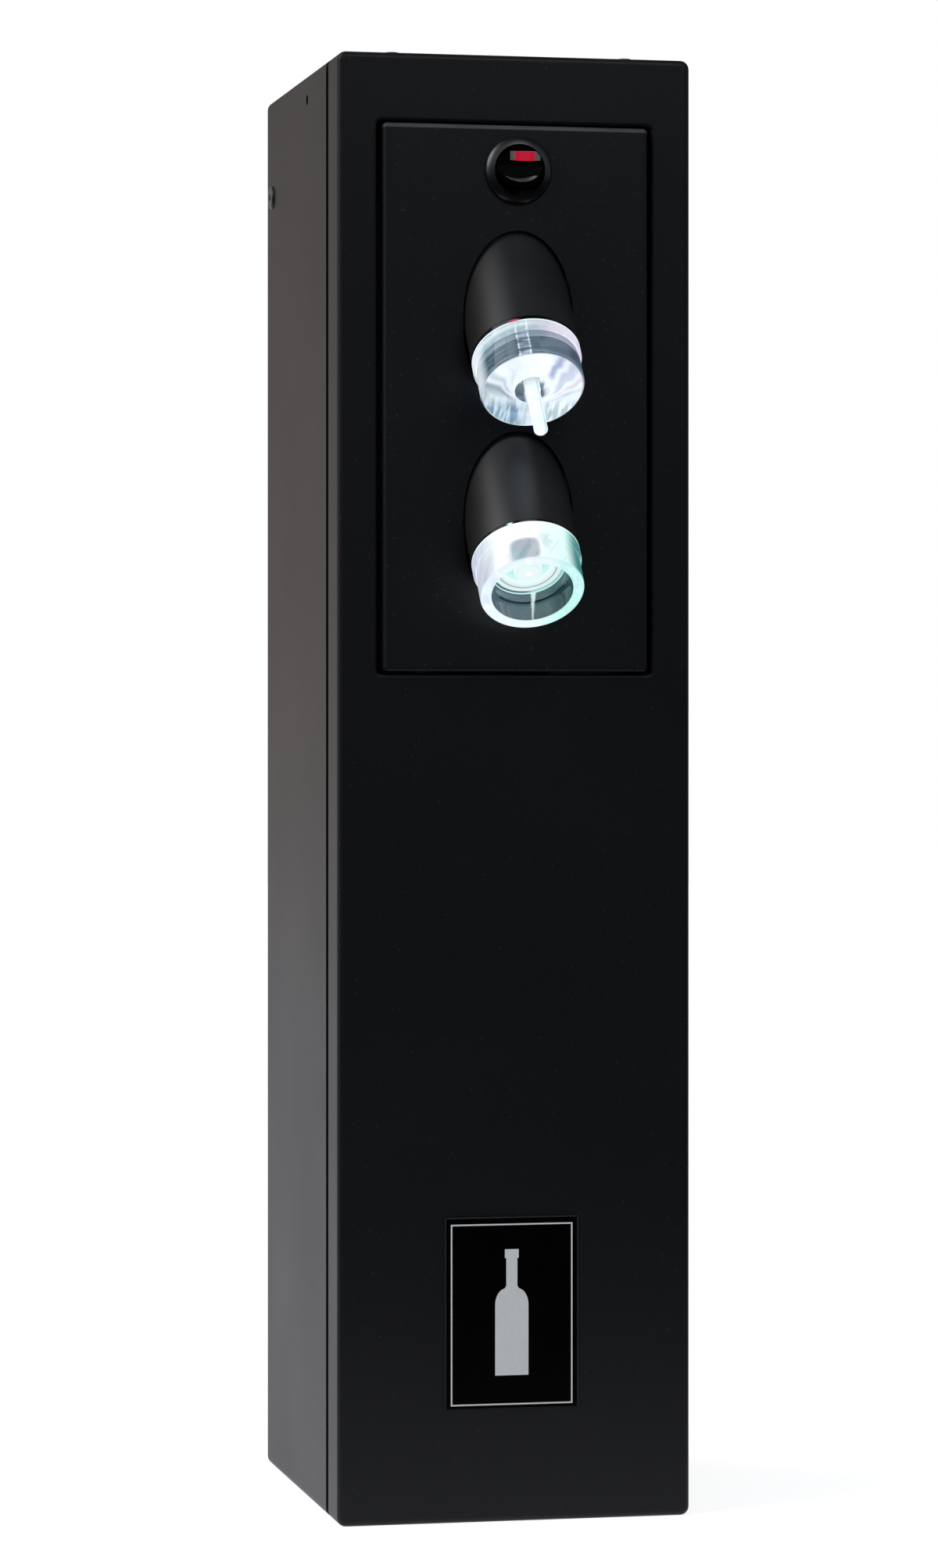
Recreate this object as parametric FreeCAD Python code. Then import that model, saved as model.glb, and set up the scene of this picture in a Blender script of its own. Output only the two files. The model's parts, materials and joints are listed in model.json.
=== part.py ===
import FreeCAD, Part

import math
import os

# Two-head wine preservation dispenser: a sheet-steel bar-top column with two sprung, slanted heads.
# The upper head draws air out of a stopped bottle, the lower one puts gas into a sparkling bottle.
# Millimetres, +Z up, front towards -Y, origin at the centre of the base.

V = FreeCAD.Vector
X_AXIS = V(1, 0, 0)
Y_AXIS = V(0, 1, 0)
Z_AXIS = V(0, 0, 1)
ORIGIN = V(0, 0, 0)

# ---- Column -------------------------------------------------------------------------------------
BODY_W = 120.5
BODY_D = 142.0
BODY_H = 490.0
SHEET = 1.5                 # folded, powder-coated steel
CORNER_R = 3.0              # corners of each folded tray
BEND_R = 2.0                # bend between a tray's face and its returns
FRONT_Y = -BODY_D / 2
BACK_Y = BODY_D / 2
HALF_W = BODY_W / 2

COVER_DEPTH = 17.5          # depth of the front cover's returns
GROOVE_W = 4.5              # shadow gap between cover and casing
CASING_FRONT_Y = FRONT_Y + COVER_DEPTH + GROOVE_W
OPENING_CORNER_R = 5.0
BOTTOM_RETURN = 24.0        # width of the casing's bottom return, which the base plate lies on

FRAME_SETBACK = 6.0         # from the cover's face to the frame behind the shadow gap
FRAME_DEPTH = 23.0

COVER_SCREW_X = (-40.0, 40.0)
COVER_SCREW_Y = FRONT_Y + 11.0
HANG_HOLE_R = 1.85          # hole that the casing hung from while it was coated
HANG_HOLE_AT = (FRONT_Y + 58.6, 480.8)
CASING_SCREW_AT = (FRONT_Y + 130.0, 454.6)
CASING_SCREW_HEAD_R = 4.1
M4_R = 2.0

# ---- Window and head plate ----------------------------------------------------------------------
WINDOW_HALF_W = 46.9
WINDOW_Z = (283.2, 467.2)
WINDOW_LIP = 8.0            # depth of the folded edge round the window
WINDOW_EDGE_R = 1.2
PLATE_GAP_X = 1.7
PLATE_GAP_Z = 0.8
PLATE_T = 4.0
PLATE_PROUD = 2.0
PLATE_EDGE_R = 1.8
PLATE_FRONT_Y = FRONT_Y - PLATE_PROUD
PLATE_BACK_Y = PLATE_FRONT_Y + PLATE_T
STUD_X = 39.5
STUD_Z = (294.0, 375.0, 440.0)
STUD_L = 9.0

# ---- Heads: s runs along the head's axis, 0 at the cover's face, positive inwards ---------------
HEAD_TILT = 41.5            # degrees between the head's axis and the column's face
HEAD_Z = {"still": 403.8, "sparkling": 336.8}
FITTINGS_X = 0.6            # heads and switch, right of the column's middle
HEAD_TRAVEL = 3.2
TUBE_R = 18.2
TUBE_WALL = 2.0
TUBE_BORE_R = TUBE_R - TUBE_WALL
TUBE_FRONT_S = -19.9
TUBE_BACK_S = 26.6
HEAD_HOLE_R = TUBE_R + 0.5  # ends of the plate's long hole, bored along the head's axis
HEAD_HOLE_REACH = (1.0, 2.0)    # from the axis up and down to the middle of each end

LENS_BODY_R = 17.4
LENS_RIM_L = 4.3
LENS_END_S = -36.3
LENS_SPIGOT_L = 4.0
LENS_SPIGOT_R = TUBE_BORE_R - 0.05
LENS_FACE_R = 1.2           # rounding of the lens's outer end
NOZZLE_R = 2.3              # free end
NOZZLE_ROOT_R = 2.6         # inside the lens
NOZZLE_ROOT_S = LENS_END_S - 0.5
NOZZLE_TIP_S = -56.0
NOZZLE_TIP_ROUND = 1.4
NOZZLE_BORE_R = 0.8
NOZZLE_FLANGE_R = 4.2
NOZZLE_FLANGE_S = TUBE_FRONT_S + LENS_SPIGOT_L + HEAD_TRAVEL + 0.5   # clear of the pushed head
LENS_BORE_R = NOZZLE_ROOT_R + 0.5
LENS_RECESS_R = 6.0
LENS_RECESS_L = 6.0
CUP_R = 13.6                # mouth, takes the rim of a stopper
CUP_STEP_R = 12.6
CUP_STEP_S = -28.5
CUP_FLOOR_S = -22.3
CUP_MOUTH_ROUND = 0.8
GAS_HEAD_R = 4.6
GAS_SHAFT_R = 3.4
GAS_TIP_S = -27.5
GAS_TIP_ROUND = 1.6
GAS_BORE_R = 1.0
GAS_HEAD_L = 8.0
GAS_GROOVE = (3.4, 1.4, 0.7)    # from the tip to the groove, its width and its depth
CUP_HOLE_R = GAS_HEAD_R + 0.6

CORE_R = 6.0
CORE_BORE_R = 2.0
CORE_SPIGOT_R = 4.0
CORE_FRONT_S = -10.5
CORE_SHOULDER_S = -7.0
CORE_BACK_S = 52.0
COLLAR_R = 11.0
COLLAR_S = (17.0, 20.0)
STEM_R = 2.97
STEM_BACK_S = -4.1
RUNNING_GAP = 0.06
FRONT_BUSH_S = (-3.0, 3.0)
REAR_BUSH_S = (20.2, TUBE_BACK_S)
LED_BOARD_S = (-8.6, CORE_SHOULDER_S)
LED_BOARD_R = 13.0
LED_COUNT = 6
LED_PITCH_R = 9.5
LED_SIZE = (2.8, 2.8, 0.9)
SPRING_R = 9.0
SPRING_WIRE_R = 0.6         # eight-sided wire
SPRING_TURNS = 4
ELBOW_W = 11.0
ELBOW_LEG = 14.0

# ---- Head chassis -------------------------------------------------------------------------------
CHASSIS_T = 2.0
CHEEK_X = 34.0
CHASSIS_Z = (287.0, 463.0)
FLANGE_W = 11.0
CROSS_S = (42.0, 45.0)      # slanted plate that carries each head's core
CROSS_Y = (-10.0, 20.0)     # its width across the axis, positive towards the column's foot
NUT_AF = 17.0
NUT_T = 4.0

# ---- Microswitch behind each head ---------------------------------------------------------------
MICRO_X = (-10.0, 10.0)
MICRO_Y = (10.0, 16.4)
MICRO_S = (32.0, CROSS_S[0])
LEVER_PIVOT_X = -8.0
LEVER_PIVOT_S = 31.0
LEVER_L = 17.0
LEVER_T = 0.4
LEVER_REST = 13.3           # degrees
PLUNGER_X = -3.0
PLUNGER_R = 0.9
PLUNGER_TIP_S = 30.35

# ---- Rocker switch ------------------------------------------------------------------------------
SWITCH_Z = 451.3
BEZEL_R = 11.5
BEZEL_H = 2.9
OPENING_R = 8.25
OPENING_D = 6.0             # from the pivot out to the plane of the opening
SWITCH_BODY_R = 9.9
SWITCH_CAVITY_R = 9.1
SWITCH_BACK_D = -10.0
PIVOT_Y = PLATE_FRONT_Y + OPENING_D + 0.3 - BEZEL_H
ROCKER_R = 9.8              # the rocker's ends are part of a ball about its pivot
ROCKER_TILT = 12.9          # degrees each side of the middle
ROCKER_VALLEY = 6.05
ROCKER_PIN_R = 1.0
ROCKER_LENS = (8.6, 3.6, 1.2)
ROCKER_LENS_AT = (0.9, 4.3)

# ---- Spine, base and services -------------------------------------------------------------------
SPINE_Y = 18.0
SPINE_T = 2.0
SPINE_Z = (5.5, 478.0)
SPINE_FLANGE = 46.0
BASE_T = 4.0
BASE_Y = (FRONT_Y + FRAME_SETBACK + FRAME_DEPTH + 0.1, 66.0)
BASE_HALF_W = 57.0
FIX_X = 44.0
FIX_Y = (-30.0, 54.0)
FIX_HOLE_R = 3.3
SERVICE_Y = -19.0
SERVICE_R = 16.0
GROMMET_R = 14.5
BOARD_X = 42.0
BOARD_Z = (112.0, 202.0)
BOARD_Y = 10.0
BOARD_T = 1.6
VALVE_X = 24.0
VALVE_Z = (262.0, 280.0)
PORT_L = 4.0
PORT_Y = -2.0
SHELF_Z = 48.0
UNION_X = 8.0
INLET_AT = (0.0, -3.0)
HOSE_R = 3.0
BADGE = (-24.1, 21.5, 38.2, 102.0)
BADGE_T = 0.6


# ---- Shape helpers ------------------------------------------------------------------------------
def box(x, y, z):
    """Box between three pairs of limits."""
    return Part.makeBox(x[1] - x[0], y[1] - y[0], z[1] - z[0], V(x[0], y[0], z[0]))


def rod(radius, start, direction, length):
    return Part.makeCylinder(radius, length, start, direction)


def ring(outer, inner, z):
    """Flat ring about Z between two heights."""
    length = z[1] - z[0]
    return rod(outer, V(0, 0, z[0]), Z_AXIS, length).cut(rod(inner, V(0, 0, z[0]), Z_AXIS, length))


def turned(outline):
    """Solid turned about Z from a closed outline of (radius, z) points."""
    points = [V(r, 0, z) for r, z in outline]
    face = Part.Face(Part.makePolygon(points + [points[0]]))
    return face.revolve(ORIGIN, Z_AXIS, 360)


def lies_at(edge, attribute, value):
    """True when the whole edge lies in one plane across an axis."""
    middle = edge.valueAt((edge.FirstParameter + edge.LastParameter) / 2)
    places = [getattr(v, attribute.upper()) for v in edge.Vertexes] + [getattr(middle, attribute)]
    return all(abs(p - value) < 1e-4 for p in places)


def runs_along(edge, axis):
    if not isinstance(edge.Curve, Part.Line):
        return False
    return abs(abs(edge.tangentAt(edge.FirstParameter).dot(axis)) - 1) < 1e-6


def is_rim(edge, radius, z):
    """True for a full circle about Z of this radius at this height."""
    curve = edge.Curve
    return (isinstance(curve, Part.Circle) and abs(curve.Radius - radius) < 1e-4
            and abs(curve.Center.z - z) < 1e-4)


def round_rim(shape, radius, z, fillet):
    return shape.makeFillet(fillet, [e for e in shape.Edges if is_rim(e, radius, z)])


def rounded_block(x, y, z, corner, face_y=None, face_r=0.0):
    """Box with its edges along Y rounded, and the edges of one face across Y if named."""
    block = box(x, y, z)
    if corner > 0:
        block = block.makeFillet(corner, [e for e in block.Edges if runs_along(e, Y_AXIS)])
    if face_y is not None:
        block = block.makeFillet(face_r, [e for e in block.Edges if lies_at(e, "y", face_y)])
    return block


def tray(closed_y, open_y):
    """Folded sheet tray as wide and tall as the column, closed across one end of its depth."""
    outer = rounded_block((-HALF_W, HALF_W), sorted((closed_y, open_y)), (0, BODY_H), CORNER_R,
                          closed_y, BEND_R)
    inward = SHEET if open_y > closed_y else -SHEET
    inner = rounded_block((-HALF_W + SHEET, HALF_W - SHEET),
                          sorted((closed_y + inward, open_y + inward)),
                          (SHEET, BODY_H - SHEET), CORNER_R - SHEET, closed_y + inward,
                          BEND_R - SHEET)
    return outer.cut(inner)


def hexagon(across_flats, start, direction, length, bore=0.0):
    """Nut or hexagon head along a direction, with its flats facing up and down."""
    corner = across_flats / math.sqrt(3)
    angles = [math.radians(60 * i) for i in range(6)]
    points = [V(corner * math.cos(a), corner * math.sin(a), 0) for a in angles]
    solid = Part.Face(Part.makePolygon(points + [points[0]])).extrude(V(0, 0, length))
    if bore:
        solid = solid.cut(rod(bore, ORIGIN, Z_AXIS, length))
    solid.Placement = FreeCAD.Placement(start, FreeCAD.Rotation(Z_AXIS, direction))
    return solid


def button_screw(head_r, head_h, shank_r, shank_l, at, direction, socket_r=0.0):
    """Low round head at a place, its shank running the other way from the direction it faces."""
    head = rod(head_r, ORIGIN, Z_AXIS, head_h)
    head = round_rim(head, head_r, head_h, head_h * 0.7)
    if socket_r:
        head = head.cut(hexagon(socket_r * math.sqrt(3), V(0, 0, head_h * 0.3), Z_AXIS, head_h))
    screw = head.fuse(rod(shank_r, V(0, 0, -shank_l), Z_AXIS, shank_l))
    screw.Placement = FreeCAD.Placement(at, FreeCAD.Rotation(Z_AXIS, direction))
    return screw


def hose(points, radius):
    """Round hose along straight runs joined by tangent arcs, as large as each pair of runs allows."""
    edges = []
    start = points[0]
    radii = []
    for before, corner, after in zip(points, points[1:], points[2:]):
        back = (before - corner).normalize()
        on = (after - corner).normalize()
        half_turn = (math.pi - math.acos(max(-1.0, min(1.0, back.dot(on))))) / 2
        shorter = min((before - corner).Length, (after - corner).Length)
        reach = 0.45 * shorter
        arc_r = reach / math.tan(half_turn)
        radii.append(round(arc_r, 1))
        first = corner + back * reach
        last = corner + on * reach
        bisector = (back + on).normalize()
        centre = corner + bisector * (arc_r / math.cos(half_turn))
        middle = centre - bisector * arc_r
        edges.append(Part.LineSegment(start, first).toShape())
        edges.append(Part.Arc(first, middle, last).toShape())
        start = last
    edges.append(Part.LineSegment(start, points[-1]).toShape())
    path = Part.Wire(edges)
    profile = Part.Wire(Part.Circle(points[0], points[1] - points[0], radius).toShape())
    tube = path.makePipeShell([profile], True, False)
    expected = math.pi * radius ** 2 * path.Length
    print("hose radii", radii, "volume / expected", round(tube.Volume / expected, 4))
    return tube


def on_head(shape, head):
    """Moves a shape from the head's own frame, Z along its axis inwards, to its place."""
    shape.rotate(ORIGIN, X_AXIS, -HEAD_TILT)
    shape.translate(V(FITTINGS_X, FRONT_Y, HEAD_Z[head]))
    return shape


def head_point(head, x, y, s):
    """A point of the head's own frame, in the column's frame."""
    origin = V(FITTINGS_X, FRONT_Y, HEAD_Z[head])
    return FreeCAD.Rotation(X_AXIS, -HEAD_TILT).multVec(V(x, y, s)) + origin


# ---- Column pieces ------------------------------------------------------------------------------
def front_cover():
    cover = tray(FRONT_Y, FRONT_Y + COVER_DEPTH)
    x = (-WINDOW_HALF_W, WINDOW_HALF_W)
    lip = box((x[0] - SHEET, x[1] + SHEET), (FRONT_Y, FRONT_Y + WINDOW_LIP),
              (WINDOW_Z[0] - SHEET, WINDOW_Z[1] + SHEET))
    opening = rounded_block(x, (FRONT_Y - 1, FRONT_Y + COVER_DEPTH), WINDOW_Z, 1.5)
    cover = cover.fuse(lip).removeSplitter().cut(opening)
    edge = [e for e in cover.Edges if lies_at(e, "y", FRONT_Y)
            and abs(e.CenterOfMass.x) <= WINDOW_HALF_W + 0.1
            and WINDOW_Z[0] - 0.1 <= e.CenterOfMass.z <= WINDOW_Z[1] + 0.1]
    cover = cover.makeFillet(WINDOW_EDGE_R, edge)
    for x_screw in COVER_SCREW_X:
        cover = cover.cut(rod(1.6, V(x_screw, COVER_SCREW_Y, BODY_H - 5), Z_AXIS, 10))
    return cover


def cover_screws():
    """Two screws through the cover's top return into the frame behind it."""
    return [button_screw(3.0, 1.2, 1.55, 6.0, V(x, COVER_SCREW_Y, BODY_H), Z_AXIS, 1.0)
            for x in COVER_SCREW_X]


def cover_frame():
    """Welded strip ring that closes the shadow gap and carries the front cover."""
    y = (FRONT_Y + FRAME_SETBACK, FRONT_Y + FRAME_SETBACK + FRAME_DEPTH)
    outer = rounded_block((-HALF_W + SHEET, HALF_W - SHEET), y, (SHEET, BODY_H - SHEET),
                          CORNER_R - SHEET)
    inner = box((-HALF_W + 2 * SHEET, HALF_W - 2 * SHEET), y, (2 * SHEET, BODY_H - 2 * SHEET))
    frame = outer.cut(inner)
    for x in COVER_SCREW_X:
        boss = rod(3.0, V(x, COVER_SCREW_Y, BODY_H - 2 * SHEET - 3.0), Z_AXIS, 3.0)
        frame = frame.fuse(boss).cut(rod(1.55, V(x, COVER_SCREW_Y, BODY_H - 10), Z_AXIS, 10))
    return frame


def rear_casing():
    """Folded back tray; its bottom is a return along the sides and the back only."""
    casing = tray(BACK_Y, CASING_FRONT_Y)
    x_opening = HALF_W - BOTTOM_RETURN
    casing = casing.cut(rounded_floor((-x_opening, x_opening),
                                      (CASING_FRONT_Y - 10, BACK_Y - BOTTOM_RETURN)))
    casing = casing.cut(rod(HANG_HOLE_R, V(-BODY_W, *HANG_HOLE_AT), X_AXIS, 2 * BODY_W))
    casing = casing.cut(rod(M4_R + 0.2, V(-BODY_W, *CASING_SCREW_AT), X_AXIS, 2 * BODY_W))
    for x in (-FIX_X, FIX_X):
        for y in FIX_Y:
            casing = casing.cut(rod(FIX_HOLE_R, V(x, y, -1), Z_AXIS, 5))
    return casing


def rounded_floor(x, y):
    """Opening in the bottom sheet, with rounded corners."""
    opening = box(x, y, (-1, SHEET + 0.5))
    return opening.makeFillet(OPENING_CORNER_R, [e for e in opening.Edges if runs_along(e, Z_AXIS)])


def casing_screws():
    """One black button-head screw in each side, into the spine's flanges."""
    y, z = CASING_SCREW_AT
    return [button_screw(CASING_SCREW_HEAD_R, 1.0, M4_R, 9.0, V(side * HALF_W, y, z),
                         V(side, 0, 0), 1.5) for side in (-1, 1)]


def base_plate():
    plate = box((-BASE_HALF_W, BASE_HALF_W), BASE_Y, (SHEET, SHEET + BASE_T))
    plate = plate.cut(rod(SERVICE_R, V(0, SERVICE_Y, 0), Z_AXIS, 20))
    for x in (-FIX_X, FIX_X):
        for y in FIX_Y:
            plate = plate.cut(rod(FIX_HOLE_R, V(x, y, 0), Z_AXIS, 20))
    for x, y in foot_screw_places():
        plate = plate.cut(rod(M4_R, V(x, y, 0), Z_AXIS, 20))
    return plate


def foot_screw_places():
    return [(side * x, 4.0) for side in (-1, 1) for x in (28.0, 48.0)]


def foot_screws():
    """Screws that hold the spine's feet down to the base plate."""
    return [button_screw(3.8, 2.4, M4_R, 5.5, V(x, y, SPINE_Z[0] + SPINE_T), Z_AXIS, 1.4)
            for x, y in foot_screw_places()]


def hose_grommet():
    """Rubber ring that lines the hole for hoses and cable, flush with the underside."""
    bottom = 0.3
    top = SHEET + BASE_T + 1.5
    outline = [(GROMMET_R, bottom), (SERVICE_R + 2.8, bottom), (SERVICE_R + 2.8, SHEET),
               (SERVICE_R, SHEET), (SERVICE_R, SHEET + BASE_T), (SERVICE_R + 2.0, SHEET + BASE_T),
               (SERVICE_R + 1.0, top), (GROMMET_R, top)]
    grommet = turned(outline)
    grommet.translate(V(0, SERVICE_Y, 0))
    return grommet


def spine():
    """Upright channel that joins base, heads, board and valves; its side flanges face back."""
    x_out = HALF_W - SHEET - 0.05
    z = SPINE_Z
    y_back = SPINE_Y + SPINE_FLANGE
    channel = box((-x_out, x_out), (SPINE_Y, y_back), z)
    channel = channel.makeFillet(2.5, [e for e in channel.Edges
                                       if runs_along(e, Z_AXIS) and lies_at(e, "y", SPINE_Y)])
    channel = channel.cut(box((-x_out + SPINE_T, x_out - SPINE_T), (SPINE_Y + SPINE_T, y_back + 1),
                              (z[0] - 1, z[1] + 1)))
    for side in (-1, 1):
        foot = box(sorted((side * 20.0, side * 54.0)), (SPINE_Y - 20.0, SPINE_Y + 1),
                   (z[0], z[0] + SPINE_T))
        channel = channel.fuse(foot)
    for x, y in foot_screw_places():
        channel = channel.cut(rod(M4_R, V(x, y, 0), Z_AXIS, 20))
    y_screw, z_screw = CASING_SCREW_AT
    for side in (-1, 1):
        inner = side * (x_out - SPINE_T)
        channel = channel.fuse(rod(4.0, V(inner, y_screw, z_screw), V(-side, 0, 0), 5.0))
    channel = channel.cut(rod(M4_R, V(-BODY_W, y_screw, z_screw), X_AXIS, 2 * BODY_W))
    for z_hole in (80.0, 245.0, 300.0, 375.0, 450.0):
        opening = rounded_block((-16.0, 16.0), (SPINE_Y - 1, SPINE_Y + 5), (z_hole - 9, z_hole + 9),
                                8.9)
        channel = channel.cut(opening)
    for x, z_screw in chassis_screw_places():
        channel = channel.cut(rod(M4_R, V(x, SPINE_Y - 1, z_screw), Y_AXIS, 10))
    return channel.removeSplitter()


def badge_plate():
    x = BADGE[:2]
    z = BADGE[2:]
    return rounded_block(x, (FRONT_Y - BADGE_T, FRONT_Y), z, 0.8)


# ---- Head plate and chassis ---------------------------------------------------------------------
def head_plate():
    x = WINDOW_HALF_W - PLATE_GAP_X
    z = (WINDOW_Z[0] + PLATE_GAP_Z, WINDOW_Z[1] - PLATE_GAP_Z)
    plate = rounded_block((-x, x), (PLATE_FRONT_Y, PLATE_BACK_Y), z, 1.5, PLATE_FRONT_Y,
                          PLATE_EDGE_R - 0.35)
    for head in HEAD_Z:
        plate = plate.cut(head_hole(head))
    switch_at = V(FITTINGS_X, PLATE_FRONT_Y - 1, SWITCH_Z)
    plate = plate.cut(rod(SWITCH_BODY_R + 0.1, switch_at, Y_AXIS, 10))
    for x_stud, z_stud in stud_places():
        plate = plate.fuse(rod(M4_R, V(x_stud, PLATE_BACK_Y - 1, z_stud), Y_AXIS, STUD_L + 1))
    return plate.removeSplitter()


def head_hole(head):
    """Slanted hole, a little longer than it is wide."""
    up, down = HEAD_HOLE_REACH
    hole = box((-HEAD_HOLE_R, HEAD_HOLE_R), (-up, down), (-60, 60))
    for y in (-up, down):
        hole = hole.fuse(rod(HEAD_HOLE_R, V(0, y, -60), Z_AXIS, 120))
    return on_head(hole.removeSplitter(), head)


def stud_places():
    return [(side * STUD_X, z) for side in (-1, 1) for z in STUD_Z]


def stud_nuts():
    """Nuts that hold the chassis to the head plate's welded studs."""
    y = PLATE_BACK_Y + CHASSIS_T
    return [hexagon(7.0, V(x, y, z), Y_AXIS, 3.2, M4_R) for x, z in stud_places()]


def chassis_screw_places():
    return [(side * (CHEEK_X + 6.0), z) for side in (-1, 1) for z in (305.0, 445.0)]


def chassis_screws():
    """Screws that hold the head chassis to the spine."""
    y = SPINE_Y - CHASSIS_T
    return [button_screw(3.8, 2.4, M4_R, 7.0, V(x, y, z), V(0, -1, 0), 1.4)
            for x, z in chassis_screw_places()]


def head_chassis():
    """Welded bracket: two cheeks with folded flanges, and a slanted cross plate for each head."""
    front = PLATE_BACK_Y
    back = SPINE_Y
    chassis = None
    for side in (-1, 1):
        cheek = box(sorted((side * (CHEEK_X - CHASSIS_T), side * CHEEK_X)), (front, back), CHASSIS_Z)
        for z, y_cut in (((300.0, 330.0), (-18.0, 8.0)), ((345.0, 395.0), (-18.0, 8.0)),
                         ((410.0, 450.0), (-30.0, 8.0))):
            window = box((-60, 60), y_cut, z)
            window = window.makeFillet(5.0, [e for e in window.Edges if runs_along(e, X_AXIS)])
            cheek = cheek.cut(window)
        for y in ((front, front + CHASSIS_T), (back - CHASSIS_T, back)):
            flange = box(sorted((side * CHEEK_X, side * (CHEEK_X + FLANGE_W))), y, CHASSIS_Z)
            cheek = cheek.fuse(flange)
        chassis = cheek if chassis is None else chassis.fuse(cheek)
    for head in HEAD_Z:
        span = CHEEK_X - CHASSIS_T / 2
        plate = box((-span, span), CROSS_Y, CROSS_S)
        plate = plate.cut(rod(CORE_R, V(0, 0, 0), Z_AXIS, 100))
        plate = plate.cut(box((-8.5, 8.5), (11.7, 14.7), CROSS_S))
        chassis = chassis.fuse(on_head(plate, head))
    for x, z in stud_places():
        chassis = chassis.cut(rod(M4_R, V(x, front - 1, z), Y_AXIS, 10))
    for x, z in chassis_screw_places():
        chassis = chassis.cut(rod(M4_R, V(x, back - 5, z), Y_AXIS, 10))
    return chassis.removeSplitter()


# ---- Head pieces that stay still ----------------------------------------------------------------
def head_core():
    """Fixed tube that carries a head: air or gas runs through it and the head slides on it."""
    return turned([(CORE_BORE_R, STEM_BACK_S), (STEM_R, STEM_BACK_S), (STEM_R, CORE_FRONT_S),
                   (CORE_SPIGOT_R, CORE_FRONT_S), (CORE_SPIGOT_R, CORE_SHOULDER_S),
                   (CORE_R, CORE_SHOULDER_S), (CORE_R, COLLAR_S[0]), (COLLAR_R, COLLAR_S[0]),
                   (COLLAR_R, COLLAR_S[1]), (CORE_R, COLLAR_S[1]), (CORE_R, CORE_BACK_S),
                   (CORE_BORE_R, CORE_BACK_S)])


def core_nuts():
    """Thin nuts in front of and behind the slanted cross plate."""
    return [hexagon(NUT_AF, V(0, 0, s), Z_AXIS, NUT_T, CORE_R)
            for s in (CROSS_S[0] - NUT_T, CROSS_S[1])]


def led_board():
    """Ring board with its light-emitting diodes facing the clear end."""
    board = ring(LED_BOARD_R, CORE_SPIGOT_R, LED_BOARD_S)
    w, d, h = LED_SIZE
    for i in range(LED_COUNT):
        led = box((LED_PITCH_R - w / 2, LED_PITCH_R + w / 2), (-d / 2, d / 2),
                  (LED_BOARD_S[0] - h, LED_BOARD_S[0]))
        led.rotate(ORIGIN, Z_AXIS, 360.0 * i / LED_COUNT)
        board = board.fuse(led)
    return board


def still_nozzle():
    """Clear hollow pin that the bottle's stopper seals on."""
    pin = turned([(NOZZLE_BORE_R, STEM_BACK_S), (STEM_R, STEM_BACK_S), (STEM_R, CORE_FRONT_S),
                  (NOZZLE_FLANGE_R, CORE_FRONT_S), (NOZZLE_FLANGE_R, NOZZLE_FLANGE_S),
                  (NOZZLE_ROOT_R, NOZZLE_FLANGE_S), (NOZZLE_ROOT_R, NOZZLE_ROOT_S),
                  (NOZZLE_R, NOZZLE_ROOT_S), (NOZZLE_R, NOZZLE_TIP_S),
                  (NOZZLE_BORE_R, NOZZLE_TIP_S)])
    return round_rim(pin, NOZZLE_R, NOZZLE_TIP_S, NOZZLE_TIP_ROUND)


def gas_nozzle():
    """Gas outlet whose rounded head stands up in the floor of the cup."""
    neck_s = GAS_TIP_S + GAS_HEAD_L
    groove_s = GAS_TIP_S + GAS_GROOVE[0]
    groove_end_s = groove_s + GAS_GROOVE[1]
    groove_r = GAS_HEAD_R - GAS_GROOVE[2]
    nozzle = turned([(GAS_BORE_R, STEM_BACK_S), (STEM_R, STEM_BACK_S), (STEM_R, CORE_FRONT_S),
                     (NOZZLE_FLANGE_R, CORE_FRONT_S), (NOZZLE_FLANGE_R, NOZZLE_FLANGE_S),
                     (GAS_SHAFT_R, NOZZLE_FLANGE_S), (GAS_SHAFT_R, neck_s), (GAS_HEAD_R, neck_s),
                     (GAS_HEAD_R, groove_end_s), (groove_r, groove_end_s), (groove_r, groove_s),
                     (GAS_HEAD_R, groove_s), (GAS_HEAD_R, GAS_TIP_S), (GAS_BORE_R, GAS_TIP_S)])
    return round_rim(nozzle, GAS_HEAD_R, GAS_TIP_S, GAS_TIP_ROUND)


def hose_elbow():
    """Elbow on the back of a core, its leg pointing down and back."""
    half = ELBOW_W / 2
    block = box((-half, half), (-half, half), (CORE_BACK_S, CORE_BACK_S + ELBOW_W))
    block = block.makeFillet(1.5, [e for e in block.Edges if runs_along(e, Z_AXIS)])
    leg_s = CORE_BACK_S + half
    return block.fuse(rod(4.0, V(0, half - 1, leg_s), Y_AXIS, ELBOW_LEG - half + 1))


def microswitch():
    """Snap-action switch on the cross plate, with ears for its lever."""
    body = box(MICRO_X, MICRO_Y, MICRO_S)
    body = body.makeFillet(0.6, [e for e in body.Edges if runs_along(e, Z_AXIS)])
    for y in ((MICRO_Y[0], MICRO_Y[0] + 0.9), (MICRO_Y[1] - 0.9, MICRO_Y[1])):
        ear = rod(0.8, V(LEVER_PIVOT_X, y[0], LEVER_PIVOT_S), Y_AXIS, 0.9)
        ear = ear.fuse(box((LEVER_PIVOT_X - 0.8, LEVER_PIVOT_X + 0.8), y,
                           (LEVER_PIVOT_S, MICRO_S[0] + 0.5)))
        body = body.fuse(ear)
    body = body.cut(rod(0.56, V(LEVER_PIVOT_X, MICRO_Y[0] - 1, LEVER_PIVOT_S), Y_AXIS, 10))
    y_mid = sum(MICRO_Y) / 2
    body = body.cut(rod(PLUNGER_R + 0.08, V(PLUNGER_X, y_mid, MICRO_S[0] - 1), Z_AXIS, 4.2))
    for x in (-7.0, 0.0, 7.0):
        blade = box((x - 0.3, x + 0.3), (y_mid - 1.4, y_mid + 1.4), (MICRO_S[1] - 0.5,
                                                                    MICRO_S[1] + 7.0))
        body = body.fuse(blade)
    return body.removeSplitter()


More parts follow.
